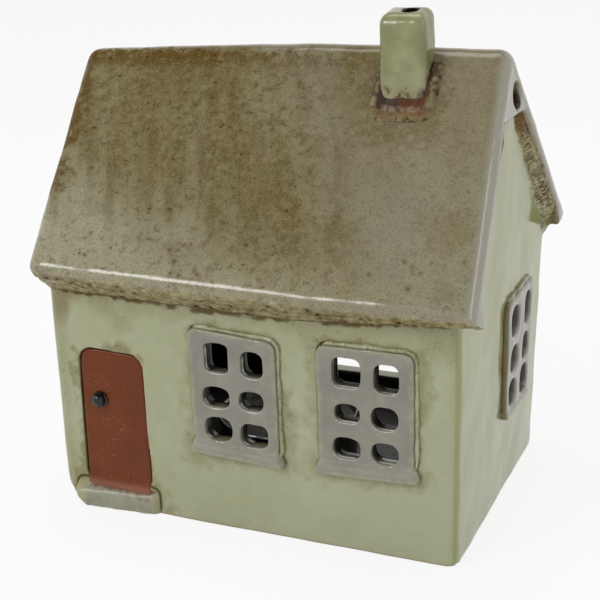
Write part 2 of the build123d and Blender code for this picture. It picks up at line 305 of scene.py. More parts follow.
def trim(piece, point, normal):
    """Cut off what lies beyond a plane, and close the cut."""
    take(piece)
    bpy.ops.object.mode_set(mode="EDIT")
    bpy.ops.mesh.select_all(action="SELECT")
    bpy.ops.mesh.bisect(
        plane_co=[place * mm for place in point], plane_no=normal, use_fill=True, clear_outer=True
    )
    bpy.ops.object.mode_set(mode="OBJECT")


def round_edges(piece, chosen, radius, steps=4):
    """Bevel the edges whose two ends pass a test."""
    take(piece)
    bpy.ops.object.mode_set(mode="EDIT")
    bpy.ops.mesh.select_mode(type="EDGE")
    bpy.ops.mesh.select_all(action="DESELECT")
    bpy.ops.object.mode_set(mode="OBJECT")
    mesh = piece.data
    for edge in mesh.edges:
        start, end = (mesh.vertices[corner].co / mm for corner in edge.vertices)
        edge.select = chosen(start, end)
    bpy.ops.object.mode_set(mode="EDIT")
    bpy.ops.mesh.bevel(offset=radius * mm, segments=steps, affect="EDGES")
    bpy.ops.object.mode_set(mode="OBJECT")


def soften(piece, voxel, rounds, unevenness=0.0, reach=14.0):
    """Turn a sharp model into clay: one fine skin, sponged round and a little uneven."""
    work(piece, "REMESH", mode="VOXEL", voxel_size=voxel * mm, adaptivity=0)
    work(piece, "SMOOTH", factor=0.5, iterations=rounds)
    if unevenness:
        hand = bpy.data.textures.new("hand", "CLOUDS")
        hand.noise_scale = reach * mm
        work(
            piece, "DISPLACE", texture=hand, strength=unevenness * mm, mid_level=0.5,
            texture_coords="LOCAL",
        )


def mark_edges(piece, rounds):
    """Write how far each point stands out from its smoothed surface, in mm, as 'edge'."""
    smooth = twin(piece, "smooth")
    work(smooth, "SMOOTH", factor=0.5, iterations=rounds)
    count = len(piece.data.vertices)
    here, there, normal = (np.zeros(3 * count) for part in range(3))
    piece.data.vertices.foreach_get("co", here)
    smooth.data.vertices.foreach_get("co", there)
    piece.data.vertices.foreach_get("normal", normal)
    stand = ((here - there) * normal).reshape(-1, 3).sum(axis=1) / mm
    edge = piece.data.attributes.new("edge", "FLOAT", "POINT")
    edge.data.foreach_set("value", stand)
    bpy.data.objects.remove(smooth)


def dress(piece, material, slot, *nodes, body="house", angle=40):
    """Give a finished piece its material, shading, body and CAD nodes. The slot is not used."""
    take(piece)
    bpy.ops.object.shade_smooth_by_angle(angle=math.radians(angle))
    piece.data.materials.clear()
    piece.data.materials.append(material)
    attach(piece, body)
    if nodes:
        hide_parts(*nodes)


def slab(name, corners, near, far):
    """A slab with four corners (across, up), from lower left round, between two depths."""
    piece = block(name, (-1, near, -1), (1, far, 1))
    for vertex in piece.data.vertices:
        if vertex.co.z < 0:
            across, up = corners[1 if vertex.co.x > 0 else 0]
        else:
            across, up = corners[2 if vertex.co.x > 0 else 3]
        vertex.co.x = across * mm
        vertex.co.z = up * mm
    return piece


def along_depth(start, end):
    """True for an edge that runs into the wall."""
    return abs(start.y - end.y) > 0.5


def grown(corners, by):
    """The four corners of a slab, moved out all round."""
    signs = ((-1, -1), (1, -1), (1, 1), (-1, 1))
    return [(across + by * a, up + by * b) for (across, up), (a, b) in zip(corners, signs)]


# Each window: where its foot's middle stands, its turn, its four corners and its six panes,
# a pane being left, right, foot, head and corner radius, all seen from outside
square = [(-12.1, 0.2), (12.1, 0.0), (12.2, 30.7), (-12.0, 30.5)]
even_panes = [
    (-8.3, -1.9, 2.3, 8.3, 1.9),
    (1.7, 8.2, 2.6, 8.5, 2.1),
    (-8.1, -1.6, 12.1, 17.0, 2.0),
    (1.9, 8.4, 11.9, 16.8, 1.8),
    (-8.4, -1.8, 20.6, 27.8, 1.7),
    (1.8, 8.2, 20.8, 27.6, 2.0),
]
windows = {
    "front_left": (
        (-1.7, -half_depth), 0.0,
        [(-11.3, 0.8), (12.1, -0.6), (11.8, 30.0), (-12.0, 31.6)],
        [
            (-8.0, -0.6, 1.9, 8.2, 2.2),
            (1.8, 9.2, 1.5, 7.6, 1.9),
            (-8.2, -1.0, 10.9, 16.2, 1.9),
            (1.7, 8.2, 11.2, 16.2, 1.9),
            (-7.3, -1.0, 20.4, 27.9, 1.3),
            (2.6, 8.3, 20.0, 26.8, 1.8),
        ],
    ),
    "front_right": (
        (32.8, -half_depth), 0.0,
        [(-11.9, 0.2), (12.2, 1.2), (12.1, 31.2), (-12.2, 31.0)],
        [
            (-8.1, -1.3, 2.4, 7.8, 1.9),
            (1.7, 8.3, 2.4, 7.6, 2.1),
            (-7.6, -1.4, 11.9, 16.5, 1.8),
            (1.6, 8.2, 11.2, 17.0, 2.7),
            (-8.0, -1.2, 20.9, 28.2, 1.5),
            (2.4, 8.3, 20.6, 27.7, 1.7),
        ],
    ),
    "right_gable": (
        (half_width, 10.0), math.pi / 2,
        [(-9.8, 0.8), (13.8, -0.4), (14.2, 32.0), (-10.4, 31.2)],
        [
            (-6.9, -0.3, 1.8, 8.4, 2.2),
            (4.4, 11.0, 0.8, 8.6, 2.4),
            (-6.4, 0.6, 10.8, 17.6, 2.4),
            (5.2, 11.0, 10.4, 17.4, 2.2),
            (-6.6, 0.2, 20.6, 28.6, 2.4),
            (5.8, 11.4, 20.2, 29.0, 2.4),
        ],
    ),
    "left_gable": ((-half_width, 10.0), -math.pi / 2, square, even_panes),
}


def hang(piece, window):
    """Turn a piece modelled round a window's foot onto its wall."""
    place, turn = windows[window][:2]
    piece.rotation_euler = (0, 0, turn)
    piece.location = (place[0] * mm, place[1] * mm, window_foot * mm)
    settle(piece)


def pane_tools(window):
    """Six cutters with rounded corners, one for each pane."""
    tools = []
    for left, right, foot, head, corner in windows[window][3]:
        outline = [(left, foot), (right, foot), (right, head), (left, head)]
        tool = slab("pane", grown(outline, -0.4), -3.2, 9)
        for vertex in tool.data.vertices:
            if vertex.co.y > 0:
                vertex.co.x += (2.1 if vertex.co.x > (left + right) / 2 * mm else -2.1) * mm
                vertex.co.z += (2.1 if vertex.co.z > (foot + head) / 2 * mm else -2.1) * mm
        round_edges(tool, along_depth, min(corner, (head - foot) / 2 - 0.6))
        tools.append(tool)
    return tools


shell = block("shell", (-half_width, -half_depth, 0), (half_width, half_depth, 125))
for side in (-1, 1):
    trim(shell, (0, 0, ridge_underside + 1.6), (0, side * uphill, upright))
round_edges(shell, lambda a, b: abs(a.z - b.z) > 40 and a.x + b.x < -109, 3.4, 5)
round_edges(shell, lambda a, b: abs(a.z - b.z) > 40 and a.x + b.x > 109, 2.3, 4)
trim(shell, (-55.0, 0, 9.5), (-0.95, 0, -0.31))
trim(shell, (-52.6, 0, 3.2), (-0.77, 0, -0.64))
carve(shell, block("cavity", (-inner_width, -inner_depth, -2), (inner_width, inner_depth, 130)))

# Clay pressed into the angle between the gables and the roof, short of the roof's slanting ends
eave_height, lean = 66.6, 0.0792
right_verge = ((60.35, 0, eave_height), (1, 0, lean))
left_verge = ((-56.15, 0, eave_height), (-1, 0, -lean))
for end, verge in ((1, right_verge), (-1, left_verge)):
    for side in (-1, 1):
        low = (min(end * 53, end * 62), min(side * 8, side * 37.5), 45)
        high = (max(end * 53, end * 62), max(side * 8, side * 37.5), 115)
        fillet = block("fillet", low, high)
        trim(fillet, (0, 0, ridge_underside + 0.8), (0, side * uphill, upright))
        trim(fillet, (verge[0][0] - end * 1.8, 0, eave_height), verge[1])
        trim(fillet, (end * 58.8, 0, ridge_underside), (end * 0.8, -side * 0.6 * uphill, -0.6 * upright))
        carve(shell, fillet, operation="UNION")

# Beds of the windows and the door, panes, vents and the arch at the back
for window in windows:
    bed = slab("bed", grown(windows[window][2], 0.1), -3, 1.3)
    round_edges(bed, along_depth, 2.2)
    for tool in [bed] + pane_tools(window):
        hang(tool, window)
        carve(shell, tool)
door_corners = [(-46.9, 6.4), (-27.4, 6.0), (-28.0, 44.2), (-46.2, 44.7)]
door_bed = slab("door_bed", grown(door_corners, 0.1), -42, -35.6)
round_edges(door_bed, along_depth, 3.6, 5)
carve(shell, door_bed)
vents = {1: 3.0, -1: 0.0}
for side, vent_y in vents.items():
    low = min(side * 45, side * 60)
    vent = rod("vent", (low, vent_y - side, vent_height), (low + 15, vent_y - side, vent_height), vent_radius)
    carve(shell, vent)
arch_half, arch_threshold, arch_springing = 24.0, 16.0, 30.0
arch = block("arch", (-arch_half, 28, arch_threshold), (arch_half, 42, arch_springing))
round_edges(arch, lambda a, b: a.z + b.z < 40 and along_depth(a, b), 2.5)
crown = rod("arch_crown", (0, 28, arch_springing), (0, 42, arch_springing), arch_half, 48)
trim(crown, (0, 0, arch_springing - 1), (0, 0, -1))
carve(arch, crown, operation="UNION")
carve(shell, arch)

soften(shell, 0.55, 7, 0.7, 22.0)
mark_edges(shell, 24)


def places(piece):
    """The places of a piece's points, in mm."""
    flat = np.zeros(3 * len(piece.data.vertices))
    piece.data.vertices.foreach_get("co", flat)
    return flat.reshape(-1, 3) / mm


def note(piece, name, values):
    """Write a value for each point of a piece."""
    record = piece.data.attributes.new(name, "FLOAT", "POINT")
    record.data.foreach_set("value", values)


def outline_gap(points, place, turn, foot, corners, radius=2.3):
    """How far points lie outside a rounded outline on a wall, in mm, and their nearest side."""
    flat = points[:, :2] - place
    across = flat @ (math.cos(turn), math.sin(turn))
    outward = flat @ (math.sin(turn), -math.cos(turn))
    gaps = []
    for (ax, az), (bx, bz) in zip(corners, corners[1:] + corners[:1]):
        side = (across - ax) * (bz - az) - (points[:, 2] - foot - az) * (bx - ax)
        gaps.append(side / math.hypot(bx - ax, bz - az))
    beyond = np.maximum(gaps[0], gaps[2]) + radius
    beside = np.maximum(gaps[1], gaps[3]) + radius
    gap = np.hypot(np.maximum(beyond, 0), np.maximum(beside, 0)) - radius
    gap += np.minimum(np.maximum(beyond, beside), 0)
    return np.where(np.abs(outward) < 6.2, gap, 99.0), np.argmax(gaps, axis=0)


def sill_corners(corners, turn):
    """The sill under a panel, spreading out below its foot."""
    left, right = corners[0], corners[1]
    spread, drop = (0.4, 1.6) if turn else (1.9, 2.7)
    return [
        (left[0] - spread, left[1] - drop), (right[0] + spread, right[1] - drop),
        (right[0] + 0.1, right[1] + 1.6), (left[0] - 0.1, left[1] + 1.6),
    ]


# How far each spot of the walls lies from the panels, the sills, the door and the step,
# and how open the groove is there: shut at the left, wide at the head and on the right
spots = places(shell)
nearest = np.full(len(spots), 99.0)
groove = np.zeros(len(spots))
open_sides = np.array((0.25, 0.9, 1.0, 0.15))
near_side_open = np.array((0.25, 0.3, 0.5, 1.3))
for place, turn, corners, panes in windows.values():
    gap, side = outline_gap(spots, place, turn, window_foot, corners)
    groove = np.where(gap < nearest, (near_side_open if turn else open_sides)[side], groove)
    nearest = np.minimum(nearest, gap)
    gap, side = outline_gap(spots, place, turn, window_foot, sill_corners(corners, turn))
    groove = np.where(gap < nearest, 0.35, groove)
    nearest = np.minimum(nearest, gap)
step_corners = [(-50.2, 0.0), (-25.0, 0.0), (-25.0, 7.4), (-50.2, 7.4)]
gap, side = outline_gap(spots, (0, -half_depth), 0.0, 0.0, step_corners)
groove = np.where(gap < nearest, 1.0, groove)
note(shell, "panel_gap", np.minimum(nearest, gap))
note(shell, "groove", groove)
note(shell, "door_gap", outline_gap(spots, (0, -half_depth), 0.0, 0.0, door_corners, 3.5)[0])

# The walls lean: the left end stands out a little, and so does the corner at the back right
deselect()
bpy.ops.object.add(type="LATTICE", location=(0, 0, 35 * mm))
leaning = bpy.context.object
leaning.scale = (112 * mm, 78 * mm, 70 * mm)
for along in "uvw":
    setattr(leaning.data, "points_" + along, 2)
    setattr(leaning.data, "interpolation_type_" + along, "KEY_LINEAR")
leans = {
    (0, 0, 0): (-1.5, 0.0), (0, 1, 0): (-1.5, 0.0), (0, 0, 1): (-0.8, 0.0), (0, 1, 1): (-0.8, 0.0),
    (1, 0, 0): (-0.7, 0.0), (1, 1, 0): (-0.7, 0.4), (1, 1, 1): (1.4, 2.0),
}
for (u, v, w), (aside, back) in leans.items():
    corner = leaning.data.points[u + 2 * (v + 2 * w)].co_deform
    corner.x += aside / 112
    corner.y += back / 78
bpy.context.view_layer.update()
work(shell, "LATTICE", object=leaning)

celadon, tree, shader, height = new_glaze("celadon_wall_glaze", 0.14, 0.03)
shader.inputs["Specular IOR Level"].default_value = 0.0
shader.inputs["Coat Roughness"].default_value = 0.14
spot = put(tree, "SeparateXYZ", (0, put(tree, "TexCoord").outputs["Object"])).outputs
across, deep, up = (calc(tree, "MULTIPLY", place, 1000.0) for place in spot)
edge = put(tree, "Attribute", attribute_name="edge").outputs["Fac"]
panel_gap = put(tree, "Attribute", attribute_name="panel_gap").outputs["Fac"]
door_gap = put(tree, "Attribute", attribute_name="door_gap").outputs["Fac"]
groove_width = put(tree, "Attribute", attribute_name="groove").outputs["Fac"]
broad = use(tree, clouds, "Cloud", ("Size", 34.0), ("Detail", 2.0))
patchy = use(tree, clouds, "Cloud", ("Size", 11.0), ("Stretch", (1, 1, 0.7)), ("Detail", 4.0))
small = use(tree, clouds, "Cloud", ("Size", 3.2), ("Detail", 4.0))
sand = use(tree, grain, "Grain", ("Size", 0.6))
iron = use(tree, specks, "Speck", ("Size", 0.8), ("Sparse", 0.6), ("Gather", 0.5))
facing = put(tree, "SeparateXYZ", (0, put(tree, "NewGeometry").outputs["Normal"])).outputs
colour = over(tree, broad, tone(164, 167, 131), tone(173, 176, 145))
colour = over(tree, calc(tree, "MULTIPLY", patchy, 0.4), colour, tone(156, 157, 116))
colour = over(tree, calc(tree, "MULTIPLY", small, 0.25), colour, tone(176, 178, 150))
colour = over(tree, calc(tree, "MULTIPLY", sand, 0.1), colour, tone(132, 132, 96))

# Painted shade: faces turned to the right get a darker, yellower celadon, for how light falls on that side
colour = stain(tree, colour, ramp(tree, facing[0], 0.4, 0.8), 0.95, 155, 158, 104)

# Stain at each joint: darker near the slab, broken up by the patches.
# Under the eaves of the long walls the wall is darker: painted shadow of the eave together with brown stain.
# The wall is also darker towards its left end.
rough = calc(tree, "MULTIPLY", calc(tree, "SUBTRACT", small, 0.5), 2.6)
wander = calc(tree, "MULTIPLY", calc(tree, "SUBTRACT", patchy, 0.5), 4.0)
broken = calc(tree, "ADD", rough, wander)
stained = ramp(tree, calc(tree, "ADD", panel_gap, broken), 4.2, -0.6)
stained = calc(tree, "MULTIPLY", stained, calc(tree, "ADD", calc(tree, "MULTIPLY", groove_width, 0.6), 0.4))
stained = calc(tree, "MAXIMUM", stained, ramp(tree, calc(tree, "ADD", door_gap, broken), 2.4, -0.4))
drop = calc(tree, "MULTIPLY", calc(tree, "ABSOLUTE", deep), math.tan(pitch))
drop = calc(tree, "SUBTRACT", calc(tree, "SUBTRACT", ridge_underside, drop), up)
long_side = ramp(tree, calc(tree, "ABSOLUTE", deep), 36.6, 37.6)
# Painted shadow of the eave, with brown stain, on the walls under it
eave_shadow_and_stain = calc(tree, "ADD", drop, calc(tree, "MULTIPLY", wander, 2.0))
eave_shadow_and_stain = calc(tree, "MULTIPLY", ramp(tree, eave_shadow_and_stain, 18.0, 8.5), long_side)
stained = calc(tree, "MAXIMUM", stained, calc(tree, "MULTIPLY", eave_shadow_and_stain, 0.6))
corner_left = ramp(tree, calc(tree, "ADD", across, wander), -48.5, -56.0, 0.6)
stained = calc(tree, "MAXIMUM", stained, corner_left)
colour = stain(tree, colour, stained, 0.7, 126, 119, 66)
brown = calc(tree, "MULTIPLY", eave_shadow_and_stain, ramp(tree, across, -22.0, -50.0))
colour = stain(tree, colour, brown, 0.5, 106, 86, 42)
roll_foot = calc(tree, "ADD", ramp(tree, across, 0.0, -56.0, 1.7), ramp(tree, across, 10.0, 60.0, 3.0))
crack = calc(tree, "ADD", calc(tree, "SUBTRACT", drop, 10.1), roll_foot)
crack = ramp(tree, calc(tree, "ADD", crack, calc(tree, "MULTIPLY", rough, 0.4)), 1.0, 0.0)
crack = calc(tree, "MULTIPLY", calc(tree, "MULTIPLY", crack, long_side), ramp(tree, patchy, 0.0, 0.4))
colour = stain(tree, colour, crack, 0.85, 82, 61, 26)
colour = stain(tree, colour, calc(tree, "MULTIPLY", stained, iron), 0.5, 90, 74, 42)
colour = over(tree, ramp(tree, edge, 0.12, 0.5, 0.35), colour, tone(180, 182, 152))

# Dark grooves round the panels. Round the door, painted shade in the groove and a painted highlight,
# tan, on its right side where the wall's edge catches the light. Lilac in the panes, darkened as painted shade
line = ramp(tree, calc(tree, "ABSOLUTE", calc(tree, "SUBTRACT", panel_gap, 0.1)), 0.7, 0.1)
crevice = calc(tree, "MULTIPLY", line, groove_width)
colour = stain(tree, colour, crevice, 0.9, 80, 63, 32)
# Painted shade in the door's groove, and a painted highlight on its right side
line = ramp(tree, calc(tree, "ABSOLUTE", door_gap), 0.7, 0.1, 0.9)
rim = over(tree, ramp(tree, across, -36.0, -30.0), tone(58, 34, 20), tone(150, 118, 80))
colour = over(tree, line, colour, rim)
# Painted shade: the reveals in the panes are lilac glaze darkened as if in shade
shaded_lilac_reveal = over(tree, small, tone(66, 59, 48), tone(122, 118, 102))
colour = over(tree, ramp(tree, panel_gap, -0.7, -1.5), colour, shaded_lilac_reveal)

# Scratched brown clay in the angle under the verges, darkest near the vents
gable_angle = calc(tree, "ADD", drop, calc(tree, "MULTIPLY", rough, 0.8))
gable_angle = calc(tree, "SUBTRACT", ramp(tree, gable_angle, 8.6, 4.4), long_side)
tint = calc(tree, "MULTIPLY", ramp(tree, calc(tree, "ADD", drop, wander), 12.0, 7.0, 0.6), ramp(tree, deep, 8.0, 20.0))
colour = over(tree, tint, colour, tone(150, 154, 108))
near_vent = ramp(tree, up, 86.0, 100.0)
bare = over(tree, near_vent, tone(180, 174, 134), tone(150, 118, 76))
colour = over(tree, ramp(tree, gable_angle, 0.0, 1.0, 0.75), colour, bare)
dense = calc(tree, "MULTIPLY", gable_angle, calc(tree, "ADD", calc(tree, "MULTIPLY", patchy, 0.5), 0.5))
for size, sparse, depth in ((1.1, 0.48, 0.95), (0.7, 0.52, 0.85)):
    strokes = use(
        tree, specks, "Speck", ("Size", size), ("Stretch", (0.45, 0.8, 1.5)), ("Sparse", sparse), ("Gather", 0.6)
    )
    colour = stain(tree, colour, calc(tree, "MULTIPLY", dense, strokes), depth, 66, 40, 8)
colour = stain(tree, colour, calc(tree, "MULTIPLY", gable_angle, ramp(tree, up, 92.0, 100.0)), 0.5, 84, 44, 26)

# Bare clay inside, sooty and painted very dark as shade, and a wiped foot
room = use(tree, joint, "Distance", ("Middle", (0, 0, 60)), ("Half", (51.6, 34.0, 80)))
sooty_painted_shade = over(tree, patchy, tone(38, 34, 30), tone(56, 50, 44))
colour = over(tree, ramp(tree, room, 0.6, -0.2), colour, sooty_painted_shade)
foot = ramp(tree, up, 0.7, 0.2)
colour = over(tree, foot, colour, tone(150, 128, 98))
tree.links.new(colour, shader.inputs["Base Color"])
matt = calc(tree, "ADD", calc(tree, "MULTIPLY", stained, 0.12), calc(tree, "MULTIPLY", small, 0.05))
matt = calc(tree, "ADD", matt, ramp(tree, gable_angle, 0.0, 1.0, 0.45))
matt = calc(tree, "ADD", matt, ramp(tree, panel_gap, -0.7, -1.5, 0.5))
tree.links.new(calc(tree, "ADD", matt, 0.12), shader.inputs["Roughness"])
dull = calc(tree, "MAXIMUM", calc(tree, "MAXIMUM", crack, crevice), gable_angle)
indoors = calc(tree, "MAXIMUM", ramp(tree, panel_gap, -0.7, -1.5), ramp(tree, room, 0.6, -0.2))
dull = calc(tree, "MAXIMUM", dull, indoors)
tree.links.new(calc(tree, "SUBTRACT", 1.0, ramp(tree, dull, 0.0, 1.0, 0.8)), shader.inputs["Coat Weight"])
tree.links.new(calc(tree, "ADD", calc(tree, "MULTIPLY", sand, 0.2), small), height)

cut_depth = 31.3
walls = {
    "front_wall": (((0, -cut_depth, 0), (0, 1, 0)),),
    "back_wall": (((0, cut_depth, 0), (0, -1, 0)),),
    "left_gable_wall": (
        ((0, -cut_depth, 0), (0, -1, 0)), ((0, cut_depth, 0), (0, 1, 0)), ((0, 0, 0), (1, 0, 0)),
    ),
    "right_gable_wall": (
        ((0, -cut_depth, 0), (0, -1, 0)), ((0, cut_depth, 0), (0, 1, 0)), ((0, 0, 0), (-1, 0, 0)),
    ),
}
for name, cuts in walls.items():
    wall = twin(shell, name + "_clay")
    for point, normal in cuts:
        trim(wall, point, normal)
    dress(wall, celadon, "wall_glaze", name)
bpy.data.objects.remove(shell)

# Windows
# Six panes cut through a thin slab with a flared sill, let into the wall, lilac-grey glaze.
# Panel and sill are shaped as one and cut apart at the sill. A lip of wall clay runs over each panel.
lilac, tree, shader, height = new_glaze("lilac_window_glaze", 0.14, 0.02)
edge = put(tree, "Attribute", attribute_name="edge").outputs["Fac"]
gap = put(tree, "Attribute", attribute_name="panel_gap").outputs["Fac"]
sunk = put(tree, "Attribute", attribute_name="sunk").outputs["Fac"]
facing = put(tree, "SeparateXYZ", (0, put(tree, "NewGeometry").outputs["Normal"])).outputs
patchy = use(tree, clouds, "Cloud", ("Size", 8.0), ("Detail", 3.0))
small = use(tree, clouds, "Cloud", ("Size", 2.2), ("Detail", 4.0))
sand = use(tree, grain, "Grain", ("Size", 0.6))
iron = use(tree, specks, "Speck", ("Size", 0.7), ("Sparse", 0.7), ("Gather", 0.4))
colour = over(tree, patchy, tone(132, 129, 118), tone(146, 143, 131))
colour = stain(tree, colour, small, 0.25, 126, 122, 106)
rim = calc(tree, "ADD", gap, calc(tree, "MULTIPLY", small, 1.2))
colour = over(tree, ramp(tree, rim, -1.0, 0.8, 0.55), colour, tone(168, 166, 132))
colour = over(tree, ramp(tree, edge, 0.1, 0.4, 0.4), colour, tone(172, 169, 152))
colour = over(tree, ramp(tree, edge, -0.08, -0.3, 0.4), colour, tone(104, 94, 76))
# Painted shade: the pane holes grow darker with depth, except where they face up
pane_depth_shade = calc(tree, "ADD", sunk, calc(tree, "MULTIPLY", small, 0.5))
pane_depth_shade = calc(tree, "MULTIPLY", ramp(tree, pane_depth_shade, 1.9, 3.2), ramp(tree, facing[2], 0.95, 0.4))
colour = stain(tree, colour, pane_depth_shade, 0.7, 74, 67, 54)
# Painted highlight: pale lips at the foot of each pane, where they face up
lip_highlight = calc(tree, "MULTIPLY", ramp(tree, facing[2], 0.15, 0.6), ramp(tree, sunk, 2.4, 1.2))
lip_highlight = calc(tree, "MULTIPLY", lip_highlight, ramp(tree, gap, -1.0, -2.2))
colour = stain(tree, colour, lip_highlight, 0.65, 196, 194, 180)
aside = put(tree, "SeparateXYZ", (0, put(tree, "TexCoord").outputs["Object"])).outputs[0]
aside = ramp(tree, calc(tree, "ABSOLUTE", aside), 0.0525, 0.0540)
near_edge = calc(tree, "MULTIPLY", aside, ramp(tree, facing[1], -0.2, -0.7))
near_edge = calc(tree, "MULTIPLY", near_edge, ramp(tree, rim, -1.4, 0.2))
colour = stain(tree, colour, near_edge, 0.8, 112, 92, 46)
colour = stain(tree, colour, iron, 0.4, 92, 72, 46)
tree.links.new(colour, shader.inputs["Base Color"])
tree.links.new(calc(tree, "ADD", calc(tree, "MULTIPLY", small, 0.06), 0.11), shader.inputs["Roughness"])
tree.links.new(calc(tree, "ADD", calc(tree, "MULTIPLY", sand, 0.2), small), height)

slip, tree, shader, height = new_glaze("pale_lip_glaze", 0.16, 0.02)
gap = put(tree, "Attribute", attribute_name="panel_gap").outputs["Fac"]
patchy = use(tree, clouds, "Cloud", ("Size", 7.0), ("Detail", 4.0))
small = use(tree, clouds, "Cloud", ("Size", 1.6), ("Detail", 4.0))
iron = use(tree, specks, "Speck", ("Size", 0.8), ("Sparse", 0.62), ("Gather", 0.6))
colour = over(tree, patchy, tone(152, 150, 112), tone(174, 174, 142))
colour = stain(tree, colour, iron, 0.6, 96, 78, 44)
colour = over(tree, ramp(tree, gap, 0.4, -0.1, 0.9), colour, tone(58, 46, 24))
tree.links.new(colour, shader.inputs["Base Color"])
tree.links.new(small, height)

for window, (place, turn, corners, panes) in windows.items():
    panel = slab(window + "_window_clay", corners, -1.3, 1.2)
    round_edges(panel, along_depth, 2.4)
    spread = sill_corners(corners, turn)
    sill = slab("sill", spread, -1.8 if turn else -2.4, 0.4)
    for vertex in sill.data.vertices:
        if vertex.co.y < 0 and vertex.co.z > (corners[0][1] + corners[1][1]) / 2 * mm:
            vertex.co.y = -1.1 * mm
    round_edges(sill, along_depth, 1.7)
    carve(panel, sill, operation="UNION")
    carve(panel, *pane_tools(window))
    hang(panel, window)
    soften(panel, 0.3, 26, 0.4, 9.0)
    mark_edges(panel, 16)
    spots = places(panel)
    panel_gap = outline_gap(spots, place, turn, window_foot, corners)[0]
    note(panel, "panel_gap", np.minimum(panel_gap, outline_gap(spots, place, turn, window_foot, spread)[0]))
    note(panel, "sunk", 1.3 - (spots[:, :2] - place) @ (math.sin(turn), -math.cos(turn)))
    work(panel, "LATTICE", object=leaning)
    sill = twin(panel, window + "_sill_clay")
    trim(panel, (0, 0, window_foot), (0, 0, -1))
    trim(sill, (0, 0, window_foot), (0, 0, 1))
    dress(panel, lilac, "window_glaze", window + "_window")
    dress(sill, lilac, "window_glaze", window + "_sill")

    outer = grown(corners, 0.9)
    for corner in (0, 3):
        outer[corner] = (outer[corner][0] + 1.4, outer[corner][1])
    for corner in (1, 2) if turn else ():
        outer[corner] = (outer[corner][0] - 1.4, outer[corner][1])
    lip = slab(window + "_window_lip", outer, -0.75, 0.8)
    round_edges(lip, along_depth, 3.0)
    opening = slab("opening", grown(corners, -0.35), -3, 3)
    round_edges(opening, along_depth, 2.4)
    carve(lip, opening, block("below", (-20, -3, -8), (20, 3, -0.6)))
    hang(lip, window)
    soften(lip, 0.24, 14, 1.1, 4.0)
    note(lip, "panel_gap", outline_gap(places(lip), place, turn, window_foot, corners)[0])
    work(lip, "LATTICE", object=leaning)
    dress(lip, slip, "wall_glaze")

# Door, knob and step
# A slab with an iron-red slip, let into its bed, its foot curled out over the step.
# The knob is a ball of black glaze, and the step a rounded block of lilac-glazed clay.
iron_red, tree, shader, height = new_glaze("iron_red_door_glaze", 0.24, 0.02)
shader.inputs["Specular IOR Level"].default_value = 0.25
edge = put(tree, "Attribute", attribute_name="edge").outputs["Fac"]
spot = put(tree, "SeparateXYZ", (0, put(tree, "TexCoord").outputs["Object"])).outputs
patchy = use(tree, clouds, "Cloud", ("Size", 9.0), ("Detail", 4.0))
small = use(tree, clouds, "Cloud", ("Size", 1.8), ("Detail", 4.0))
iron = use(tree, specks, "Speck", ("Size", 0.8), ("Sparse", 0.68), ("Gather", 0.4))
colour = over(tree, patchy, tone(105, 46, 4), tone(113, 51, 8))
colour = over(tree, calc(tree, "MULTIPLY", small, 0.2), colour, tone(92, 46, 22))
colour = over(tree, ramp(tree, edge, 0.06, 0.3, 0.55), colour, tone(158, 112, 80))
colour = over(tree, ramp(tree, edge, -0.06, -0.25, 0.5), colour, tone(66, 34, 22))
# Painted highlight: a pale pink band along the curl at the door's foot
lip = calc(tree, "MULTIPLY", ramp(tree, spot[2], 0.0086, 0.0064), ramp(tree, spot[1], -0.0376, -0.0386))
colour = over(tree, calc(tree, "MULTIPLY", lip, 0.5), colour, tone(166, 112, 92))
colour = over(tree, calc(tree, "MULTIPLY", iron, 0.4), colour, tone(150, 116, 92))
tree.links.new(colour, shader.inputs["Base Color"])
tree.links.new(small, height)

door = slab("door_clay", door_corners, -37.7, -35.7)
round_edges(door, along_depth, 3.4, 5)
curl = slab("curl", [(-46.8, 5.6), (-27.6, 5.2), (-27.7, 9.2), (-46.5, 9.6)], -38.7, -36.2)
for vertex in curl.data.vertices:
    if vertex.co.y < -0.038 and vertex.co.z > 0.008:
        vertex.co.y = -37.5 * mm
carve(door, curl, operation="UNION")
soften(door, 0.3, 9, 0.35, 10.0)
mark_edges(door, 16)
work(door, "LATTICE", object=leaning)
dress(door, iron_red, "door_glaze", "door")

black, tree, shader, height = new_glaze("black_knob_glaze", 0.08, 0.03)
patchy = use(tree, clouds, "Cloud", ("Size", 1.6), ("Detail", 3.0))
colour = over(tree, patchy, tone(4, 4, 5), tone(14, 15, 19))
tree.links.new(colour, shader.inputs["Base Color"])
tree.links.new(patchy, height)

deselect()
bpy.ops.mesh.primitive_uv_sphere_add(segments=32, ring_count=20, radius=2.0 * mm)
knob = bpy.context.object
knob.name = "door_knob_clay"
knob.scale = (0.92, 0.86, 1.0)
knob.location = (-41.0 * mm, -38.8 * mm, 30.9 * mm)
settle(knob)
pad = rod("pad", (-41.0, -38.2, 30.8), (-41.0, -36.8, 30.8), 2.2)
carve(knob, pad, operation="UNION")
soften(knob, 0.14, 5, 0.22, 1.8)
work(knob, "LATTICE", object=leaning)
dress(knob, black, "knob_glaze", "door_knob")

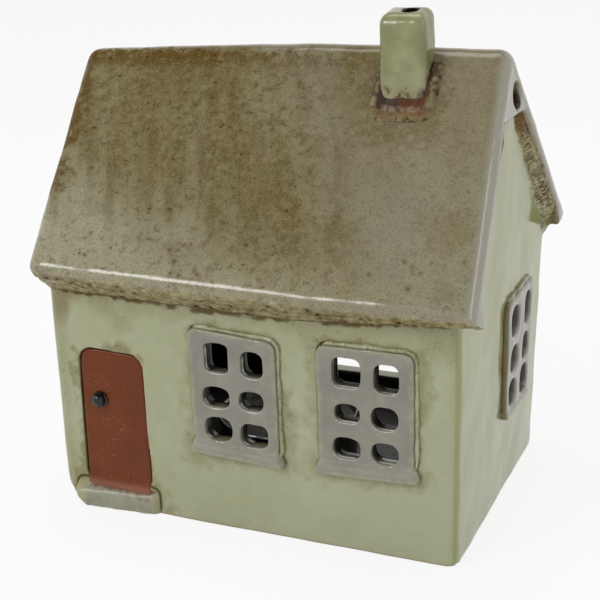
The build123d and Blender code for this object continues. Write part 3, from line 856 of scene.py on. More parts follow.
cream, tree, shader, height = new_glaze("step_glaze", 0.32, 0.02)
edge = put(tree, "Attribute", attribute_name="edge").outputs["Fac"]
spot = put(tree, "SeparateXYZ", (0, put(tree, "TexCoord").outputs["Object"])).outputs
patchy = use(tree, clouds, "Cloud", ("Size", 7.0), ("Detail", 4.0))
small = use(tree, clouds, "Cloud", ("Size", 1.8), ("Detail", 4.0))
iron = use(tree, specks, "Speck", ("Size", 0.8), ("Sparse", 0.64), ("Gather", 0.5))
colour = over(tree, patchy, tone(146, 144, 124), tone(160, 158, 138))
ends = calc(tree, "ABSOLUTE", calc(tree, "ADD", calc(tree, "MULTIPLY", spot[0], 1000.0), 37.8))
ends = calc(tree, "ADD", ends, calc(tree, "MULTIPLY", patchy, 2.5))
colour = over(tree, ramp(tree, ends, 9.5, 13.0), colour, tone(164, 162, 122))
colour = over(tree, ramp(tree, edge, 0.1, 0.4, 0.3), colour, tone(176, 174, 140))
pooled = calc(tree, "ADD", calc(tree, "MULTIPLY", spot[1], 1000.0), calc(tree, "MULTIPLY", small, 0.9))
pooled = calc(tree, "MULTIPLY", ramp(tree, pooled, -39.4, -38.2), ramp(tree, ends, 11.0, 9.5))
colour = over(tree, calc(tree, "MULTIPLY", pooled, 0.8), colour, tone(118, 70, 46))
colour = over(tree, calc(tree, "MULTIPLY", iron, 0.6), colour, tone(92, 74, 44))
tree.links.new(colour, shader.inputs["Base Color"])
tree.links.new(small, height)

step = block("door_step_clay", (-50.0, -41.3, 0.0), (-25.0, -37.0, 7.2))
for vertex in step.data.vertices:
    if vertex.co.y < -0.04:
        if vertex.co.x > -0.03:
            vertex.co.y = -39.4 * mm
        if vertex.co.z > 0.003:
            vertex.co.z = (4.8 if vertex.co.x > -0.03 else 4.4) * mm
    elif vertex.co.x > -0.03 and vertex.co.z > 0.003:
        vertex.co.z = 6.3 * mm
round_edges(step, lambda a, b: abs(a.z - b.z) > 3 and a.y + b.y < -78, 2.2, 5)
round_edges(step, lambda a, b: min(a.z, b.z) > 3 and a.y + b.y < -78, 1.2, 3)
trim(step, (-48.6, -40.0, 1.4), (-0.62, -0.45, -0.64))
soften(step, 0.32, 24, 0.6, 8.0)
mark_edges(step, 16)
work(step, "LATTICE", object=leaning)
bpy.data.objects.remove(leaning)
dress(step, cream, "window_glaze", "door_step")

# Roof
# Two slabs mitred at the ridge and bowed by hand, each with a roll of clay under its eave.
# Webs with a round vent close both ends under the ridge. Olive-brown glaze over sandy clay.
half_span, roof_plumb = 46.6, 7.58
crest = ridge_underside + roof_plumb


def below_slope(point):
    """How far a point lies below the plane of its slope, in mm."""
    return crest - abs(point[1]) * math.tan(pitch) - point[2]


def at_verge(start, end):
    """True for an edge that lies in one of the roof's two ends."""
    right = [abs(p.x - 60.35 + lean * (p.z - eave_height)) < 0.2 for p in (start, end)]
    left = [abs(p.x + 56.15 + lean * (p.z - eave_height)) < 0.2 for p in (start, end)]
    return all(right) or all(left)


def at_rim(start, end):
    """True for the outer edges of the roof's ends and for the noses of the eaves."""
    nose = min(abs(start.y), abs(end.y)) > half_span - 0.2 and abs(start.x - end.x) > 5
    return nose or (at_verge(start, end) and min(below_slope(start), below_slope(end)) < 5)


tent = block("tent", (-75, -60, 40), (75, 60, 130))
for side in (-1, 1):
    trim(tent, (0, 0, crest), (0, side * uphill, upright))
    trim(tent, (0, side * half_span, eave_height), (0, side * 0.637, -0.771))
for tilt in (-0.56, -0.28, 0, 0.28, 0.56):
    across_ridge = (0, math.sin(tilt), math.cos(tilt))
    trim(tent, (0, 5 * across_ridge[1], ridge_underside + 5 * across_ridge[2]), across_ridge)
under = block("under", (-90, -37.2, 20), (90, 37.2, 130))
for side in (-1, 1):
    trim(under, (0, 0, ridge_underside), (0, side * uphill, upright))
carve(tent, under)
trim(tent, *right_verge)
trim(tent, *left_verge)

# Both rolls thin out towards the right, the one at the back more
take(tent)
bpy.ops.object.mode_set(mode="EDIT")
bpy.ops.mesh.select_all(action="SELECT")
bpy.ops.mesh.bisect(plane_co=(0.012, 0, 0), plane_no=(1, 0, 0))
bpy.ops.object.mode_set(mode="OBJECT")
for vertex in tent.data.vertices:
    if vertex.co.x > 0.05 and vertex.co.z < 0.06:
        vertex.co.z += (3.6 if vertex.co.y < 0 else 5.6) * mm
round_edges(tent, at_rim, 3.1, 4)
round_edges(tent, lambda a, b: at_verge(a, b) and min(below_slope(a), below_slope(b)) > 5, 1.6, 3)

for side in (-1, 1):
    trim(tent, (59.2, side * 45.2, 64.4), (0.5, side * 0.5, -0.707))

for side, verge in ((1, right_verge), (-1, left_verge)):
    web = block("web", (min(side * 53, side * 66), -16, 101.0), (max(side * 53, side * 66), 16, 125))
    for fall in (-1, 1):
        trim(web, (0, 0, ridge_underside + 1.5), (0, fall * uphill, upright))
    trim(web, (verge[0][0] - side * 0.15, 0, eave_height), verge[1])
    round_edges(web, lambda a, b: abs(a.z + b.z - 202.0) < 0.3 and abs(a.x + b.x) > 112, 1.2)
    carve(tent, web, operation="UNION")
    low = min(side * 45, side * 65)
    carve(tent, rod("vent", (low, vents[side], vent_height), (low + 20, vents[side], vent_height), vent_radius))
soften(tent, 0.55, 8, 0.7, 24.0)
ripple = bpy.data.textures.new("ripple", "CLOUDS")
ripple.noise_scale = 5.0 * mm
work(tent, "DISPLACE", texture=ripple, strength=0.13 * mm, mid_level=0.5, texture_coords="LOCAL")


# Torn clay on the rolls under the eaves
spots = places(tent)
below = crest - np.abs(spots[:, 1]) * math.tan(pitch) - spots[:, 2]
note(tent, "below", below)
facing = np.zeros(3 * len(spots))
tent.data.vertices.foreach_get("normal", facing)
torn = np.flatnonzero((below > 2.6) & (np.abs(spots[:, 1]) > 37.4) & (facing[2::3] < -0.3))
roll = tent.vertex_groups.new(name="roll")
roll.add(torn.tolist(), 1.0, "REPLACE")
crumble = bpy.data.textures.new("crumble", "CLOUDS")
crumble.noise_scale = 1.3 * mm
crumble.noise_depth = 1
work(
    tent, "DISPLACE", texture=crumble, strength=0.8 * mm, mid_level=0.5, texture_coords="LOCAL",
    vertex_group="roll",
)
tent.vertex_groups.clear()

# Bowed ridge, front eave falling to the right
deselect()
bpy.ops.object.add(type="LATTICE", location=(0, 0, 92 * mm))
bow = bpy.context.object
bow.scale = (130 * mm, 100 * mm, 60 * mm)
bow.data.points_u, bow.data.points_v, bow.data.points_w = 3, 3, 2
for along in ("u", "v", "w"):
    setattr(bow.data, "interpolation_type_" + along, "KEY_CARDINAL")
lifts = {
    (0, 1, 1): -0.9, (1, 1, 1): 1.5, (2, 1, 1): 0.7,
    (0, 0, 0): 1.0, (1, 0, 0): -0.7, (2, 0, 0): -1.3, (1, 2, 0): -1.0, (2, 2, 0): 1.6,
}
for (u, v, w), lift in lifts.items():
    bow.data.points[u + 3 * (v + 3 * w)].co_deform.z += lift / 60
bpy.context.view_layer.update()
work(tent, "LATTICE", object=bow)
bpy.data.objects.remove(bow)
mark_edges(tent, 24)

olive, tree, shader, height = new_glaze("olive_roof_glaze", 0.2, 0.02)
shader.inputs["Specular IOR Level"].default_value = 0.0
shader.inputs["Coat Roughness"].default_value = 0.17
spot = put(tree, "SeparateXYZ", (0, put(tree, "TexCoord").outputs["Object"])).outputs
across, deep, up = (calc(tree, "MULTIPLY", place, 1000.0) for place in spot)
edge = put(tree, "Attribute", attribute_name="edge").outputs["Fac"]
below = put(tree, "Attribute", attribute_name="below").outputs["Fac"]
broad = use(tree, clouds, "Cloud", ("Size", 30.0), ("Detail", 3.0))
patchy = use(tree, clouds, "Cloud", ("Size", 11.0), ("Detail", 5.0))
small = use(tree, clouds, "Cloud", ("Size", 3.0), ("Detail", 5.0))
runs = use(
    tree, clouds, "Cloud", ("Size", 7.0), ("Stretch", (1, 0.16, 0.16)), ("Slant", 0.39), ("Detail", 4.0)
)
sand = use(tree, grain, "Grain", ("Size", 0.5))
mottle = use(tree, grain, "Grain", ("Size", 2.2))
wander = calc(tree, "MULTIPLY", calc(tree, "SUBTRACT", patchy, 0.5), 12.0)
rough = calc(tree, "MULTIPLY", calc(tree, "SUBTRACT", mottle, 0.5), 4.0)
broken = calc(tree, "ADD", wander, rough)
colour = over(tree, broad, tone(107, 95, 56), tone(118, 107, 70))


def patch(middle, half, fade):
    """A mask round a place on the roof, with a broken edge."""
    away = use(tree, joint, "Distance", ("Middle", middle), ("Half", half))
    return ramp(tree, calc(tree, "ADD", away, broken), fade, -fade)


# Greyer where the glaze lies thick, in a broad run from the ridge to the right.
# Paler at the right end, the lower left and in a strip along the eave: greyer glaze with painted sheen
eave = calc(tree, "ADD", up, calc(tree, "MULTIPLY", broken, 0.6))
thick = calc(tree, "ADD", across, calc(tree, "MULTIPLY", calc(tree, "SUBTRACT", up, 114.0), 0.92))
thick = calc(tree, "ABSOLUTE", calc(tree, "SUBTRACT", calc(tree, "ADD", thick, broken), 6.0))
colour = stain(tree, colour, ramp(tree, thick, 20.0, 0.0), 0.7, 129, 123, 102)
# Painted sheen over greyer glaze: the lower left and a strip along the eave
low_left_sheen = calc(tree, "ADD", eave, calc(tree, "MULTIPLY", across, 0.3))
colour = stain(tree, colour, ramp(tree, low_left_sheen, 86.0, 58.0), 0.95, 163, 162, 137)
colour = stain(tree, colour, ramp(tree, eave, 77.0, 69.0), 0.5, 152, 147, 116)
by_verge = calc(tree, "ADD", across, calc(tree, "MULTIPLY", calc(tree, "SUBTRACT", up, eave_height), lean))
by_right = calc(tree, "ADD", by_verge, broken)
# Painted sheen over greyer glaze at the right end
right_end_sheen = calc(tree, "MULTIPLY", ramp(tree, by_right, 24.0, 50.0), calc(tree, "SUBTRACT", 1.0, ramp(tree, up, 84.0, 104.0, 0.4)))
colour = stain(tree, colour, right_end_sheen, 0.85, 145, 141, 117)
colour = stain(tree, colour, patch((37, -35, 80), (7, 20, 4), 4.0), 0.6, 134, 126, 114)
colour = stain(tree, colour, patch((50, -38, 76), (3, 20, 5), 3.0), 0.5, 112, 100, 58)
colour = stain(tree, colour, patch((12, -36, 79), (9, 20, 4), 4.0), 0.5, 106, 90, 52)

# Brown runs, rust under the ridge and along the left verge, stain round the chimney's foot
gather = ramp(tree, calc(tree, "ADD", runs, calc(tree, "MULTIPLY", rough, 0.08)), 0.6, 1.0)
fading = calc(tree, "ADD", ramp(tree, eave, 70.0, 88.0, 0.7), 0.3)
fading = calc(tree, "MULTIPLY", fading, calc(tree, "SUBTRACT", 1.0, ramp(tree, by_right, 18.0, 38.0, 0.8)))
colour = stain(tree, colour, calc(tree, "MULTIPLY", gather, fading), 0.5, 92, 74, 26)
pale_runs = ramp(tree, calc(tree, "ADD", runs, calc(tree, "MULTIPLY", rough, 0.05)), 0.42, 0.05)
colour = stain(tree, colour, pale_runs, 0.35, 140, 134, 108)
aslant = calc(tree, "ADD", across, calc(tree, "MULTIPLY", calc(tree, "SUBTRACT", up, 95.0), 0.39))
for middle, low, high in ((-15.4, 80.0, 106.0), (1.0, 79.0, 104.0), (-30.0, 80.0, 98.0)):
    run = calc(tree, "ABSOLUTE", calc(tree, "SUBTRACT", calc(tree, "ADD", aslant, rough), middle))
    run = calc(tree, "MULTIPLY", ramp(tree, run, 2.0, 0.0), ramp(tree, mottle, 0.3, 0.7))
    run = calc(tree, "MULTIPLY", run, calc(tree, "MULTIPLY", ramp(tree, eave, low, low + 8), ramp(tree, eave, high, high - 8)))
    colour = stain(tree, colour, run, 0.8, 90, 62, 14)
band = calc(tree, "ADD", up, calc(tree, "MULTIPLY", rough, 0.6))
band = calc(tree, "ABSOLUTE", calc(tree, "SUBTRACT", band, 114.8))
band = calc(tree, "MULTIPLY", ramp(tree, band, 2.4, 1.2), ramp(tree, across, 34.0, -24.0))
band = calc(tree, "MULTIPLY", band, ramp(tree, patchy, -0.4, 0.6))
colour = stain(tree, colour, band, 0.85, 92, 66, 20)
left_edge = calc(tree, "ADD", by_verge, rough)
left_edge = calc(tree, "MULTIPLY", ramp(tree, left_edge, -49.5, -54.0), ramp(tree, eave, 78.0, 90.0))
left_edge = calc(tree, "MULTIPLY", left_edge, ramp(tree, patchy, -0.4, 0.6))
colour = stain(tree, colour, left_edge, 0.85, 90, 62, 18)
halo = use(tree, joint, "Distance", ("Middle", (33.4, -11.0, 107.0)), ("Half", (8.0, 6.0, 7.0)))
halo = ramp(tree, calc(tree, "ADD", halo, rough), 5.0, -0.5)
colour = stain(tree, colour, halo, 0.4, 96, 78, 38)

# Sandy mottling, dashes gathered in the runs, dots near the eave
colour = stain(tree, colour, ramp(tree, mottle, 0.5, 1.0), 0.5, 138, 130, 98)
calm = calc(tree, "SUBTRACT", 1.0, ramp(tree, by_right, 4.0, 36.0, 0.75))
calm = calc(tree, "SUBTRACT", calm, ramp(tree, low_left_sheen, 84.0, 64.0, 0.4))
colour = stain(tree, colour, calc(tree, "MULTIPLY", ramp(tree, mottle, 0.5, 0.0), calm), 0.7, 82, 69, 30)
colour = stain(tree, colour, ramp(tree, sand, 0.55, 1.0), 0.4, 140, 132, 104)
colour = stain(tree, colour, ramp(tree, sand, 0.45, 0.0), 0.5, 74, 60, 30)
share = calc(tree, "ADD", calc(tree, "MULTIPLY", gather, 0.5), ramp(tree, patchy, 0.5, 1.0, 0.3))
dashes = put(
    tree, "Group", ("Size", 1.3), ("Stretch", (0.5, 1, 1)), ("Share", share), node_tree=dots
).outputs
colour = stain(tree, colour, calc(tree, "MULTIPLY", dashes["Halo"], calm), 0.3, 92, 70, 30)
colour = stain(tree, colour, calc(tree, "MULTIPLY", dashes["Dot"], calm), 0.8, 62, 48, 16)
crowd = ramp(tree, patchy, 0.35, 0.9, 0.55)
grains = put(tree, "Group", ("Size", 1.9), ("Share", crowd), node_tree=dots).outputs
near_eave = calc(tree, "MULTIPLY", ramp(tree, up, 84.0, 73.0), ramp(tree, below, 1.5, 0.5))
colour = stain(tree, colour, calc(tree, "MULTIPLY", near_eave, grains["Halo"]), 0.3, 104, 84, 48)
colour = stain(tree, colour, calc(tree, "MULTIPLY", near_eave, grains["Dot"]), 0.55, 66, 52, 26)

# Smooth lilac-grey ends; a paler ridge and nose, where the glaze breaks thin and a highlight is painted;
# a vent with a pale rim and its bore painted dark as shade
end_face = ramp(tree, by_verge, 57.4, 59.8)
colour = stain(tree, colour, end_face, 0.85, 162, 159, 145)
# Pale edges where the glaze breaks thin, partly a painted highlight along the ridge and nose
colour = over(tree, ramp(tree, edge, 0.14, 0.5, 0.35), colour, tone(157, 153, 120))
bore = calc(tree, "POWER", calc(tree, "SUBTRACT", up, vent_height), 2.0)
vent_aside = calc(tree, "SUBTRACT", deep, ramp(tree, across, -5.0, 5.0, vents[1]))
bore = calc(tree, "SQRT", calc(tree, "ADD", calc(tree, "POWER", vent_aside, 2.0), bore))
out_there = ramp(tree, calc(tree, "ABSOLUTE", across), 50.0, 52.0)
colour = stain(tree, colour, calc(tree, "MULTIPLY", ramp(tree, bore, 4.6, 3.8), out_there), 0.5, 168, 164, 148)
# Painted shade: the vent's bore is painted dark brown
colour = stain(tree, colour, calc(tree, "MULTIPLY", ramp(tree, bore, 3.5, 3.1), out_there), 0.95, 62, 34, 20)

# Torn clay on the roll under the eave, strokes of brown underneath
facing = put(tree, "SeparateXYZ", (0, put(tree, "NewGeometry").outputs["Normal"])).outputs
outer = ramp(tree, calc(tree, "ABSOLUTE", deep), 36.0, 37.4)
fascia = calc(tree, "ADD", below, calc(tree, "MULTIPLY", rough, 0.5))
fascia = calc(tree, "MULTIPLY", ramp(tree, fascia, 1.2, 3.0), outer)
fascia = calc(tree, "MULTIPLY", fascia, ramp(tree, calc(tree, "ABSOLUTE", facing[0]), 0.75, 0.45))
pits = put(tree, "Group", ("Size", 2.3), ("Share", 0.85), node_tree=dots).outputs
bare = over(tree, mottle, tone(128, 114, 74), tone(178, 170, 134))
bare = stain(tree, bare, ramp(tree, sand, 0.5, 0.0), 0.4, 92, 76, 44)
bare = stain(tree, bare, pits["Halo"], 0.5, 96, 78, 42)
bare = stain(tree, bare, pits["Dot"], 0.95, 48, 36, 14)
bare = stain(tree, bare, ramp(tree, edge, 0.0, -0.3), 0.7, 72, 54, 28)
bare = stain(tree, bare, ramp(tree, below, 14.0, 16.5), 0.7, 70, 52, 28)
colour = over(tree, fascia, colour, bare)
under_side = calc(tree, "MULTIPLY", ramp(tree, facing[2], -0.25, -0.5), calc(tree, "SUBTRACT", 1.0, outer))
strokes = put(
    tree, "Group", ("Size", 1.7), ("Stretch", (1, 0.6, 1)), ("Share", 0.55), node_tree=dots
).outputs
inside = over(tree, mottle, tone(138, 126, 92), tone(158, 150, 120))
inside = stain(tree, inside, strokes["Halo"], 0.5, 110, 86, 52)
inside = stain(tree, inside, strokes["Dot"], 0.8, 70, 46, 26)
colour = over(tree, under_side, colour, inside)
tree.links.new(colour, shader.inputs["Base Color"])
matt = calc(tree, "ADD", calc(tree, "MULTIPLY", sand, 0.06), calc(tree, "MULTIPLY", under_side, 0.35))
matt = calc(tree, "ADD", matt, calc(tree, "MULTIPLY", fascia, 0.3))
tree.links.new(calc(tree, "ADD", matt, 0.15), shader.inputs["Roughness"])
dull = calc(tree, "MAXIMUM", calc(tree, "MAXIMUM", band, left_edge), fascia)
tree.links.new(calc(tree, "SUBTRACT", 1.0, ramp(tree, dull, 0.0, 1.0, 0.7)), shader.inputs["Coat Weight"])
tree.links.new(calc(tree, "ADD", calc(tree, "MULTIPLY", sand, 0.3), small), height)

wedges = {}
for side, gable in ((1, "right"), (-1, "left")):
    wedge = block("wedge", (min(side * 54.8, side * 70), -30, 97), (max(side * 54.8, side * 70), 30, 125))
    for fall in (-1, 1):
        trim(wedge, (0, 0, ridge_underside + 0.9), (0, fall * uphill, upright))
    web = twin(tent, gable + "_gable_vent_web_clay")
    carve(web, wedge, operation="INTERSECT", keep=True)
    wedges[gable] = wedge
    dress(web, olive, "roof_glaze", gable + "_gable_vent_web")
for name, side in (("roof_front_slope", 1), ("roof_back_slope", -1)):
    slope = twin(tent, name + "_clay")
    carve(slope, *wedges.values(), keep=True)
    trim(slope, (0, 0, 0), (0, side, 0))
    dress(slope, olive, "roof_glaze", name)
for wedge in wedges.values():
    bpy.data.objects.remove(wedge)
bpy.data.objects.remove(tent)


def slope_top(y):
    """Height of the slope's face over a point of the plan."""
    return crest - abs(y) * math.tan(pitch)


# Chimney and collar
# A solid block of celadon-glazed clay with a flue pushed through it, its top worn round.
# Clay is smeared from its foot onto the roof, with a lip along both sides, and brown glaze pools there.
stack, tree, shader, height = new_glaze("celadon_chimney_glaze", 0.13, 0.02)
edge = put(tree, "Attribute", attribute_name="edge").outputs["Fac"]
spot = put(tree, "SeparateXYZ", (0, put(tree, "TexCoord").outputs["Object"])).outputs
across, deep, up = (calc(tree, "MULTIPLY", place, 1000.0) for place in spot)
patchy = use(tree, clouds, "Cloud", ("Size", 7.0), ("Detail", 4.0))
small = use(tree, clouds, "Cloud", ("Size", 1.8), ("Detail", 4.0))
sand = use(tree, grain, "Grain", ("Size", 0.6))
iron = use(tree, specks, "Speck", ("Size", 1.2), ("Sparse", 0.52), ("Gather", 0.5))
colour = over(tree, patchy, tone(130, 131, 88), tone(156, 155, 116))
colour = over(tree, calc(tree, "MULTIPLY", sand, 0.12), colour, tone(116, 116, 82))
colour = over(tree, ramp(tree, edge, 0.1, 0.4, 0.6), colour, tone(176, 180, 156))
rough = calc(tree, "MULTIPLY", calc(tree, "SUBTRACT", small, 0.5), 4.0)
low = ramp(tree, calc(tree, "SUBTRACT", up, rough), 109.6, 106.4)
right = ramp(tree, calc(tree, "ADD", across, calc(tree, "MULTIPLY", rough, 0.3)), 35.8, 37.2)
back = calc(tree, "ADD", calc(tree, "MULTIPLY", deep, 0.8), calc(tree, "SUBTRACT", 120.5, up))
right = calc(tree, "MULTIPLY", right, ramp(tree, calc(tree, "ADD", back, rough), -1.0, 3.0))
stained = calc(tree, "MAXIMUM", low, right)
colour = over(tree, calc(tree, "MULTIPLY", stained, 0.85), colour, tone(104, 80, 50))
colour = over(tree, calc(tree, "MULTIPLY", stained, iron), colour, tone(54, 34, 24))
# Painted shade: the flue's bore and mouth are painted almost black
flue_away = calc(tree, "POWER", calc(tree, "SUBTRACT", across, 33.4), 2.0)
flue_away = calc(tree, "ADD", flue_away, calc(tree, "POWER", calc(tree, "SUBTRACT", deep, -6.0), 2.0))
colour = over(tree, ramp(tree, calc(tree, "SQRT", flue_away), 2.6, 2.2), colour, tone(30, 22, 14))
tree.links.new(colour, shader.inputs["Base Color"])
tree.links.new(calc(tree, "ADD", calc(tree, "MULTIPLY", sand, 0.2), small), height)

chimney = block("chimney_clay", (26.5, -10.3, 102.0), (38.2, -1.5, 128.4))
trim(chimney, (0, -2.6, 128.3), (0, -0.18, 1))
for vertex in chimney.data.vertices:
    if vertex.co.z < 0.11:
        vertex.co.x += 1.0 * mm
        vertex.co.y -= 2.2 * mm
round_edges(chimney, lambda a, b: abs(a.z - b.z) > 10, 1.7)
round_edges(chimney, lambda a, b: a.z + b.z > 248, 2.6, 6)
carve(chimney, rod("flue", (33.4, -6.0, 100), (33.4, -6.0, 130), 1.9))
soften(chimney, 0.3, 7, 0.5, 9.0)
mark_edges(chimney, 20)
dress(chimney, stack, "wall_glaze", "chimney")

pooled_glaze, tree, shader, height = new_glaze("pooled_collar_glaze", 0.32, 0.03)
shader.inputs["Specular IOR Level"].default_value = 0.25
edge = put(tree, "Attribute", attribute_name="edge").outputs["Fac"]
fall = put(tree, "Attribute", attribute_name="fall").outputs["Fac"]
aside = put(tree, "Attribute", attribute_name="aside").outputs["Fac"]
patchy = use(tree, clouds, "Cloud", ("Size", 4.0), ("Detail", 4.0))
small = use(tree, clouds, "Cloud", ("Size", 1.4), ("Detail", 4.0))
iron = use(tree, specks, "Speck", ("Size", 1.4), ("Sparse", 0.56), ("Gather", 0.4))
rough = calc(tree, "MULTIPLY", calc(tree, "SUBTRACT", small, 0.5), 2.4)
colour = over(tree, patchy, tone(112, 97, 64), tone(134, 120, 86))
front = calc(tree, "ADD", fall, rough)
near_foot = ramp(tree, aside, 6.8, 5.6)
orange = calc(tree, "MULTIPLY", ramp(tree, front, 3.8, 2.0), near_foot)
colour = stain(tree, colour, orange, 0.65, 116, 79, 40)
pool = calc(tree, "MULTIPLY", ramp(tree, front, 2.0, 0.9), near_foot)
spill = calc(tree, "MULTIPLY", put(tree, "SeparateXYZ", (0, put(tree, "TexCoord").outputs["Object"])).outputs[0], 1000.0)
pool_tint = over(tree, ramp(tree, spill, 31.0, 34.0), tone(54, 43, 40), tone(84, 42, 16))
colour = over(tree, calc(tree, "MULTIPLY", pool, 0.9), colour, pool_tint)
shelf = calc(tree, "MULTIPLY", ramp(tree, fall, -0.5, -2.0), ramp(tree, small, 0.2, 0.6))
colour = stain(tree, colour, shelf, 0.8, 62, 46, 36)
colour = stain(tree, colour, iron, 0.4, 70, 44, 24)
rim = calc(tree, "MULTIPLY", ramp(tree, front, 3.8, 5.0), ramp(tree, small, 0.1, 0.5))
colour = stain(tree, colour, rim, 0.85, 76, 54, 24)
colour = over(tree, ramp(tree, edge, 0.1, 0.4, 0.5), colour, tone(158, 150, 120))
tree.links.new(colour, shader.inputs["Base Color"])
tree.links.new(small, height)

chimney_foot = (33.2, -12.0, slope_top(12.0))
collar = block("chimney_collar_clay", (-8.6, -5.0, -2.5), (8.6, 11.5, 0.65))
round_edges(collar, lambda a, b: abs(a.z - b.z) > 1.5 and a.y + b.y < 0, 4.5)
smears = [
    ((-6.4, -1.4, -2.0), (6.4, 2.0, 1.2)),
    ((-7.8, -1.4, -2.0), (-5.2, 11.5, 2.0)),
    ((5.2, -1.4, -2.0), (7.8, 11.5, 2.0)),
]
for low, high in smears:
    carve(collar, block("smear", low, high), operation="UNION")
collar.rotation_euler = (pitch, 0, 0)
collar.location = [place * mm for place in chimney_foot]
settle(collar)
carve(collar, block("stack", (27.9, -11.2, 100), (38.6, 4, 130)))
trim(collar, (0, -3.0, 0), (0, 1, 0))
soften(collar, 0.3, 34, 0.6, 4.0)
mark_edges(collar, 16)
spots = places(collar) - chimney_foot
note(collar, "fall", -spots[:, 1] * upright - spots[:, 2] * uphill)
note(collar, "aside", np.abs(spots[:, 0]))
dress(collar, pooled_glaze, "roof_glaze", "chimney_collar")

# Tealight
# A drawn aluminium cup with a rolled, fluted rim, filled with white wax.
# A crimped steel sustainer holds a waxed cotton wick. The cup stands loose on the floor.
tealight_y = -12.0

bare_metal, tree, shader, height = new_glaze("drawn_aluminium", 0.42, 0.02)
shader.inputs["Metallic"].default_value = 1.0
small = use(tree, clouds, "Cloud", ("Size", 1.2), ("Stretch", (1, 1, 0.1)), ("Detail", 4.0))
colour = over(tree, small, tone(168, 169, 172), tone(188, 188, 190))
tree.links.new(colour, shader.inputs["Base Color"])
tree.links.new(small, height)


def spun(name, outline, steps=96):
    """Spin an outline of (radius, height) round the tealight's axis."""
    deselect()
    mesh = bpy.data.meshes.new(name)
    points = [(radius * mm, tealight_y * mm, height * mm) for radius, height in outline]
    mesh.from_pydata(points, [(i, i + 1) for i in range(len(points) - 1)], [])
    piece = bpy.data.objects.new(name, mesh)
    bpy.context.collection.objects.link(piece)
    take(piece)
    bpy.ops.object.mode_set(mode="EDIT")
    bpy.ops.mesh.select_all(action="SELECT")
    bpy.ops.mesh.spin(
        steps=steps, angle=2 * math.pi, center=(0, tealight_y * mm, 0), axis=(0, 0, 1), dupli=False
    )
    bpy.ops.mesh.select_all(action="SELECT")
    bpy.ops.mesh.remove_doubles(threshold=0.00001)
    bpy.ops.mesh.normals_make_consistent(inside=False)
    bpy.ops.object.mode_set(mode="OBJECT")
    return piece


cup = spun("tealight_cup_metal", [
    (0, 7.2), (16.6, 7.2), (17.6, 7.5), (18.1, 8.2), (18.45, 14), (18.5, 21.9), (18.9, 22.3),
    (19.0, 22.8), (18.75, 23.2), (18.35, 23.1), (18.1, 22.6), (18.05, 14), (17.75, 8.5),
    (17.3, 7.9), (16.4, 7.65), (0, 7.65),
])
dress(cup, bare_metal, "cup_metal", "tealight_cup", body="tealight", angle=50)

wax_white, tree, shader, height = new_glaze("candle_wax", 0.42, 0.05)
shader.inputs["Subsurface Weight"].default_value = 0.25
shader.inputs["Subsurface Radius"].default_value = (0.004, 0.003, 0.002)
patchy = use(tree, clouds, "Cloud", ("Size", 9.0), ("Detail", 3.0))
colour = over(tree, patchy, tone(232, 228, 218), tone(240, 238, 230))
tree.links.new(colour, shader.inputs["Base Color"])
tree.links.new(patchy, height)
wax = spun("tealight_wax_fill", [
    (0, 7.8), (16.2, 7.8), (17.4, 8.6), (17.85, 14), (17.95, 20.0), (17.7, 20.4), (16.9, 20.0),
    (14, 19.75), (7, 19.65), (2.5, 19.8), (1.3, 20.2), (0.95, 20.4), (0, 20.4),
])
dress(wax, wax_white, "candle_wax", "tealight_wax", body="tealight")

steel, tree, shader, height = new_glaze("sustainer_steel", 0.3, 0.02)
shader.inputs["Metallic"].default_value = 1.0
small = use(tree, clouds, "Cloud", ("Size", 1.0), ("Detail", 3.0))
tree.links.new(over(tree, small, tone(150, 150, 152), tone(176, 176, 178)), shader.inputs["Base Color"])
tree.links.new(small, height)
sustainer = spun("wick_sustainer_steel", [
    (0, 7.8), (5.6, 7.8), (6.0, 8.0), (5.7, 8.25), (2.3, 8.3), (1.75, 8.8), (1.6, 11.4), (1.4, 11.8),
    (1.1, 11.6), (0, 11.6),
], 48)
dress(sustainer, steel, "sustainer_steel", "wick_sustainer", body="tealight")

cotton, tree, shader, height = new_glaze("waxed_cotton", 0.7, 0.12)
twist = put(tree, "TexWave", ("Scale", 900.0), ("Distortion", 1.0), bands_direction="DIAGONAL").outputs[1]
tree.links.new(put(tree, "TexCoord").outputs["Object"], tree.nodes["Wave Texture"].inputs["Vector"])
tree.links.new(over(tree, twist, tone(196, 190, 176), tone(226, 222, 212)), shader.inputs["Base Color"])
tree.links.new(twist, height)
wick = spun("tealight_wick_cotton", [
    (0, 8.4), (0.8, 8.5), (0.88, 12), (0.86, 20), (0.9, 22), (0.84, 24.4), (0.6, 25.2), (0, 25.4),
], 32)
dress(wick, cotton, "wick_cotton", "tealight_wick", body="tealight")

# Stage
# A plain pale floor and a white surround that dims overhead. The floor keeps the house's shadow.
deselect()
bpy.ops.mesh.primitive_plane_add(size=6, location=(0, 0, -0.0003))
ground = bpy.context.object
ground.name = "ground"
paper = bpy.data.materials.new("pale_paper")
paper.use_nodes = True
tree = paper.node_tree
shader = tree.nodes["Principled BSDF"]
shader.inputs["Base Color"].default_value = (0.86, 0.86, 0.86, 1)
shader.inputs["Roughness"].default_value = 0.9
shader.inputs["Specular IOR Level"].default_value = 0.1
path = put(tree, "LightPath").outputs
seen = calc(tree, "MAXIMUM", path["Is Camera Ray"], path["Is Glossy Ray"])
seen = calc(tree, "MAXIMUM", seen, path["Is Transmission Ray"])
white = put(tree, "Emission", ("Color", (1, 1, 1, 1)), ("Strength", 1.0)).outputs[0]
lit = put(tree, "MixShader", (0, calc(tree, "MULTIPLY", seen, 0.86)), (1, shader.outputs[0]), (2, white))
tree.links.new(lit.outputs[0], tree.nodes["Material Output"].inputs["Surface"])
ground.data.materials.append(paper)

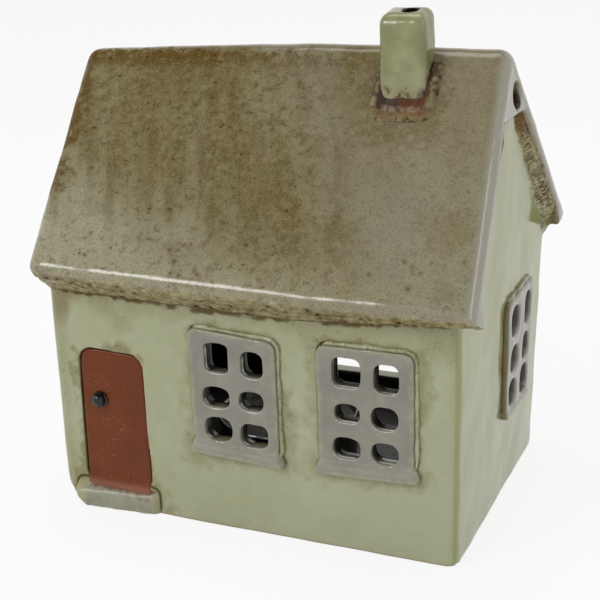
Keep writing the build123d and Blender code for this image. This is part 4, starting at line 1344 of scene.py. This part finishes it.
scene = bpy.context.scene
scene.world = bpy.data.worlds.new("studio")
scene.world.use_nodes = True
tree = scene.world.node_tree
room_light = tree.nodes["Background"]
room_light.inputs["Color"].default_value = (1, 1, 1, 1)
path = put(tree, "LightPath").outputs
seen = calc(tree, "MAXIMUM", path["Is Camera Ray"], path["Is Glossy Ray"])
seen = calc(tree, "MAXIMUM", seen, path["Is Transmission Ray"])
heading = put(tree, "SeparateXYZ", (0, put(tree, "TexCoord").outputs["Generated"])).outputs
from_left = ramp(tree, heading[0], 0.9, 0.0, 0.3)
tree.links.new(calc(tree, "ADD", from_left, 0.36), room_light.inputs["Strength"])
surround = calc(tree, "ADD", ramp(tree, heading[2], 0.75, 0.4, 0.75), 0.25)
surround = calc(tree, "MAXIMUM", surround, path["Is Camera Ray"])
white = put(tree, "Background", ("Color", (1, 1, 1, 1)), ("Strength", surround)).outputs[0]
lit = put(tree, "MixShader", (0, seen), (1, room_light.outputs[0]), (2, white))
tree.links.new(lit.outputs[0], tree.nodes["World Output"].inputs["Surface"])


def softbox(name, place, aim, width, length, power):
    """A soft lamp at a place, turned towards a point, in mm and watts."""
    lamp = bpy.data.lights.new(name, "AREA")
    lamp.shape = "RECTANGLE"
    lamp.size, lamp.size_y = width * mm, length * mm
    lamp.energy = power
    stand = bpy.data.objects.new(name, lamp)
    bpy.context.collection.objects.link(stand)
    reach = [(b - a) * mm for a, b in zip(place, aim)]
    yaw = math.atan2(reach[1], reach[0]) - math.pi / 2
    tilt = math.atan2(math.hypot(reach[0], reach[1]), -reach[2])
    stand.rotation_euler = (tilt, 0, yaw)
    stand.location = [a * mm for a in place]


softbox("left_front_lamp", (-400, -640, 560), (0, 0, 60), 260, 220, 2.1)
softbox("right_lamp", (760, -60, 480), (0, 0, 60), 120, 420, 0.7)
softbox("top_lamp", (-60, 120, 900), (0, 0, 60), 500, 360, 1.8)

# Camera
# Fitted to the corners of the walls and roof as the picture shows them.
lens = bpy.data.cameras.new("camera")
camera = bpy.data.objects.new("camera", lens)
bpy.context.collection.objects.link(camera)
focal, middle_x, middle_y, frame_side = 1251.0, 279.969, 297.9, 600
lens.sensor_width = 36
lens.lens = focal * 36 / frame_side
lens.shift_x = (frame_side / 2 - middle_x) / frame_side
lens.shift_y = (middle_y - frame_side / 2) / frame_side
lens.clip_start, lens.clip_end = 0.01, 20
azimuth, elevation, roll = math.radians(25.011), math.radians(18.739), math.radians(-2.557)
from mathutils import Matrix
turn = Matrix.Rotation(azimuth, 4, "Z") @ Matrix.Rotation(math.pi / 2 - elevation, 4, "X")
turn = turn @ Matrix.Rotation(roll, 4, "Z")
camera.matrix_world = Matrix.Translation((129.59 * mm, -291.903 * mm, 159.262 * mm)) @ turn
scene.camera = camera
scene.view_settings.view_transform = "Standard"
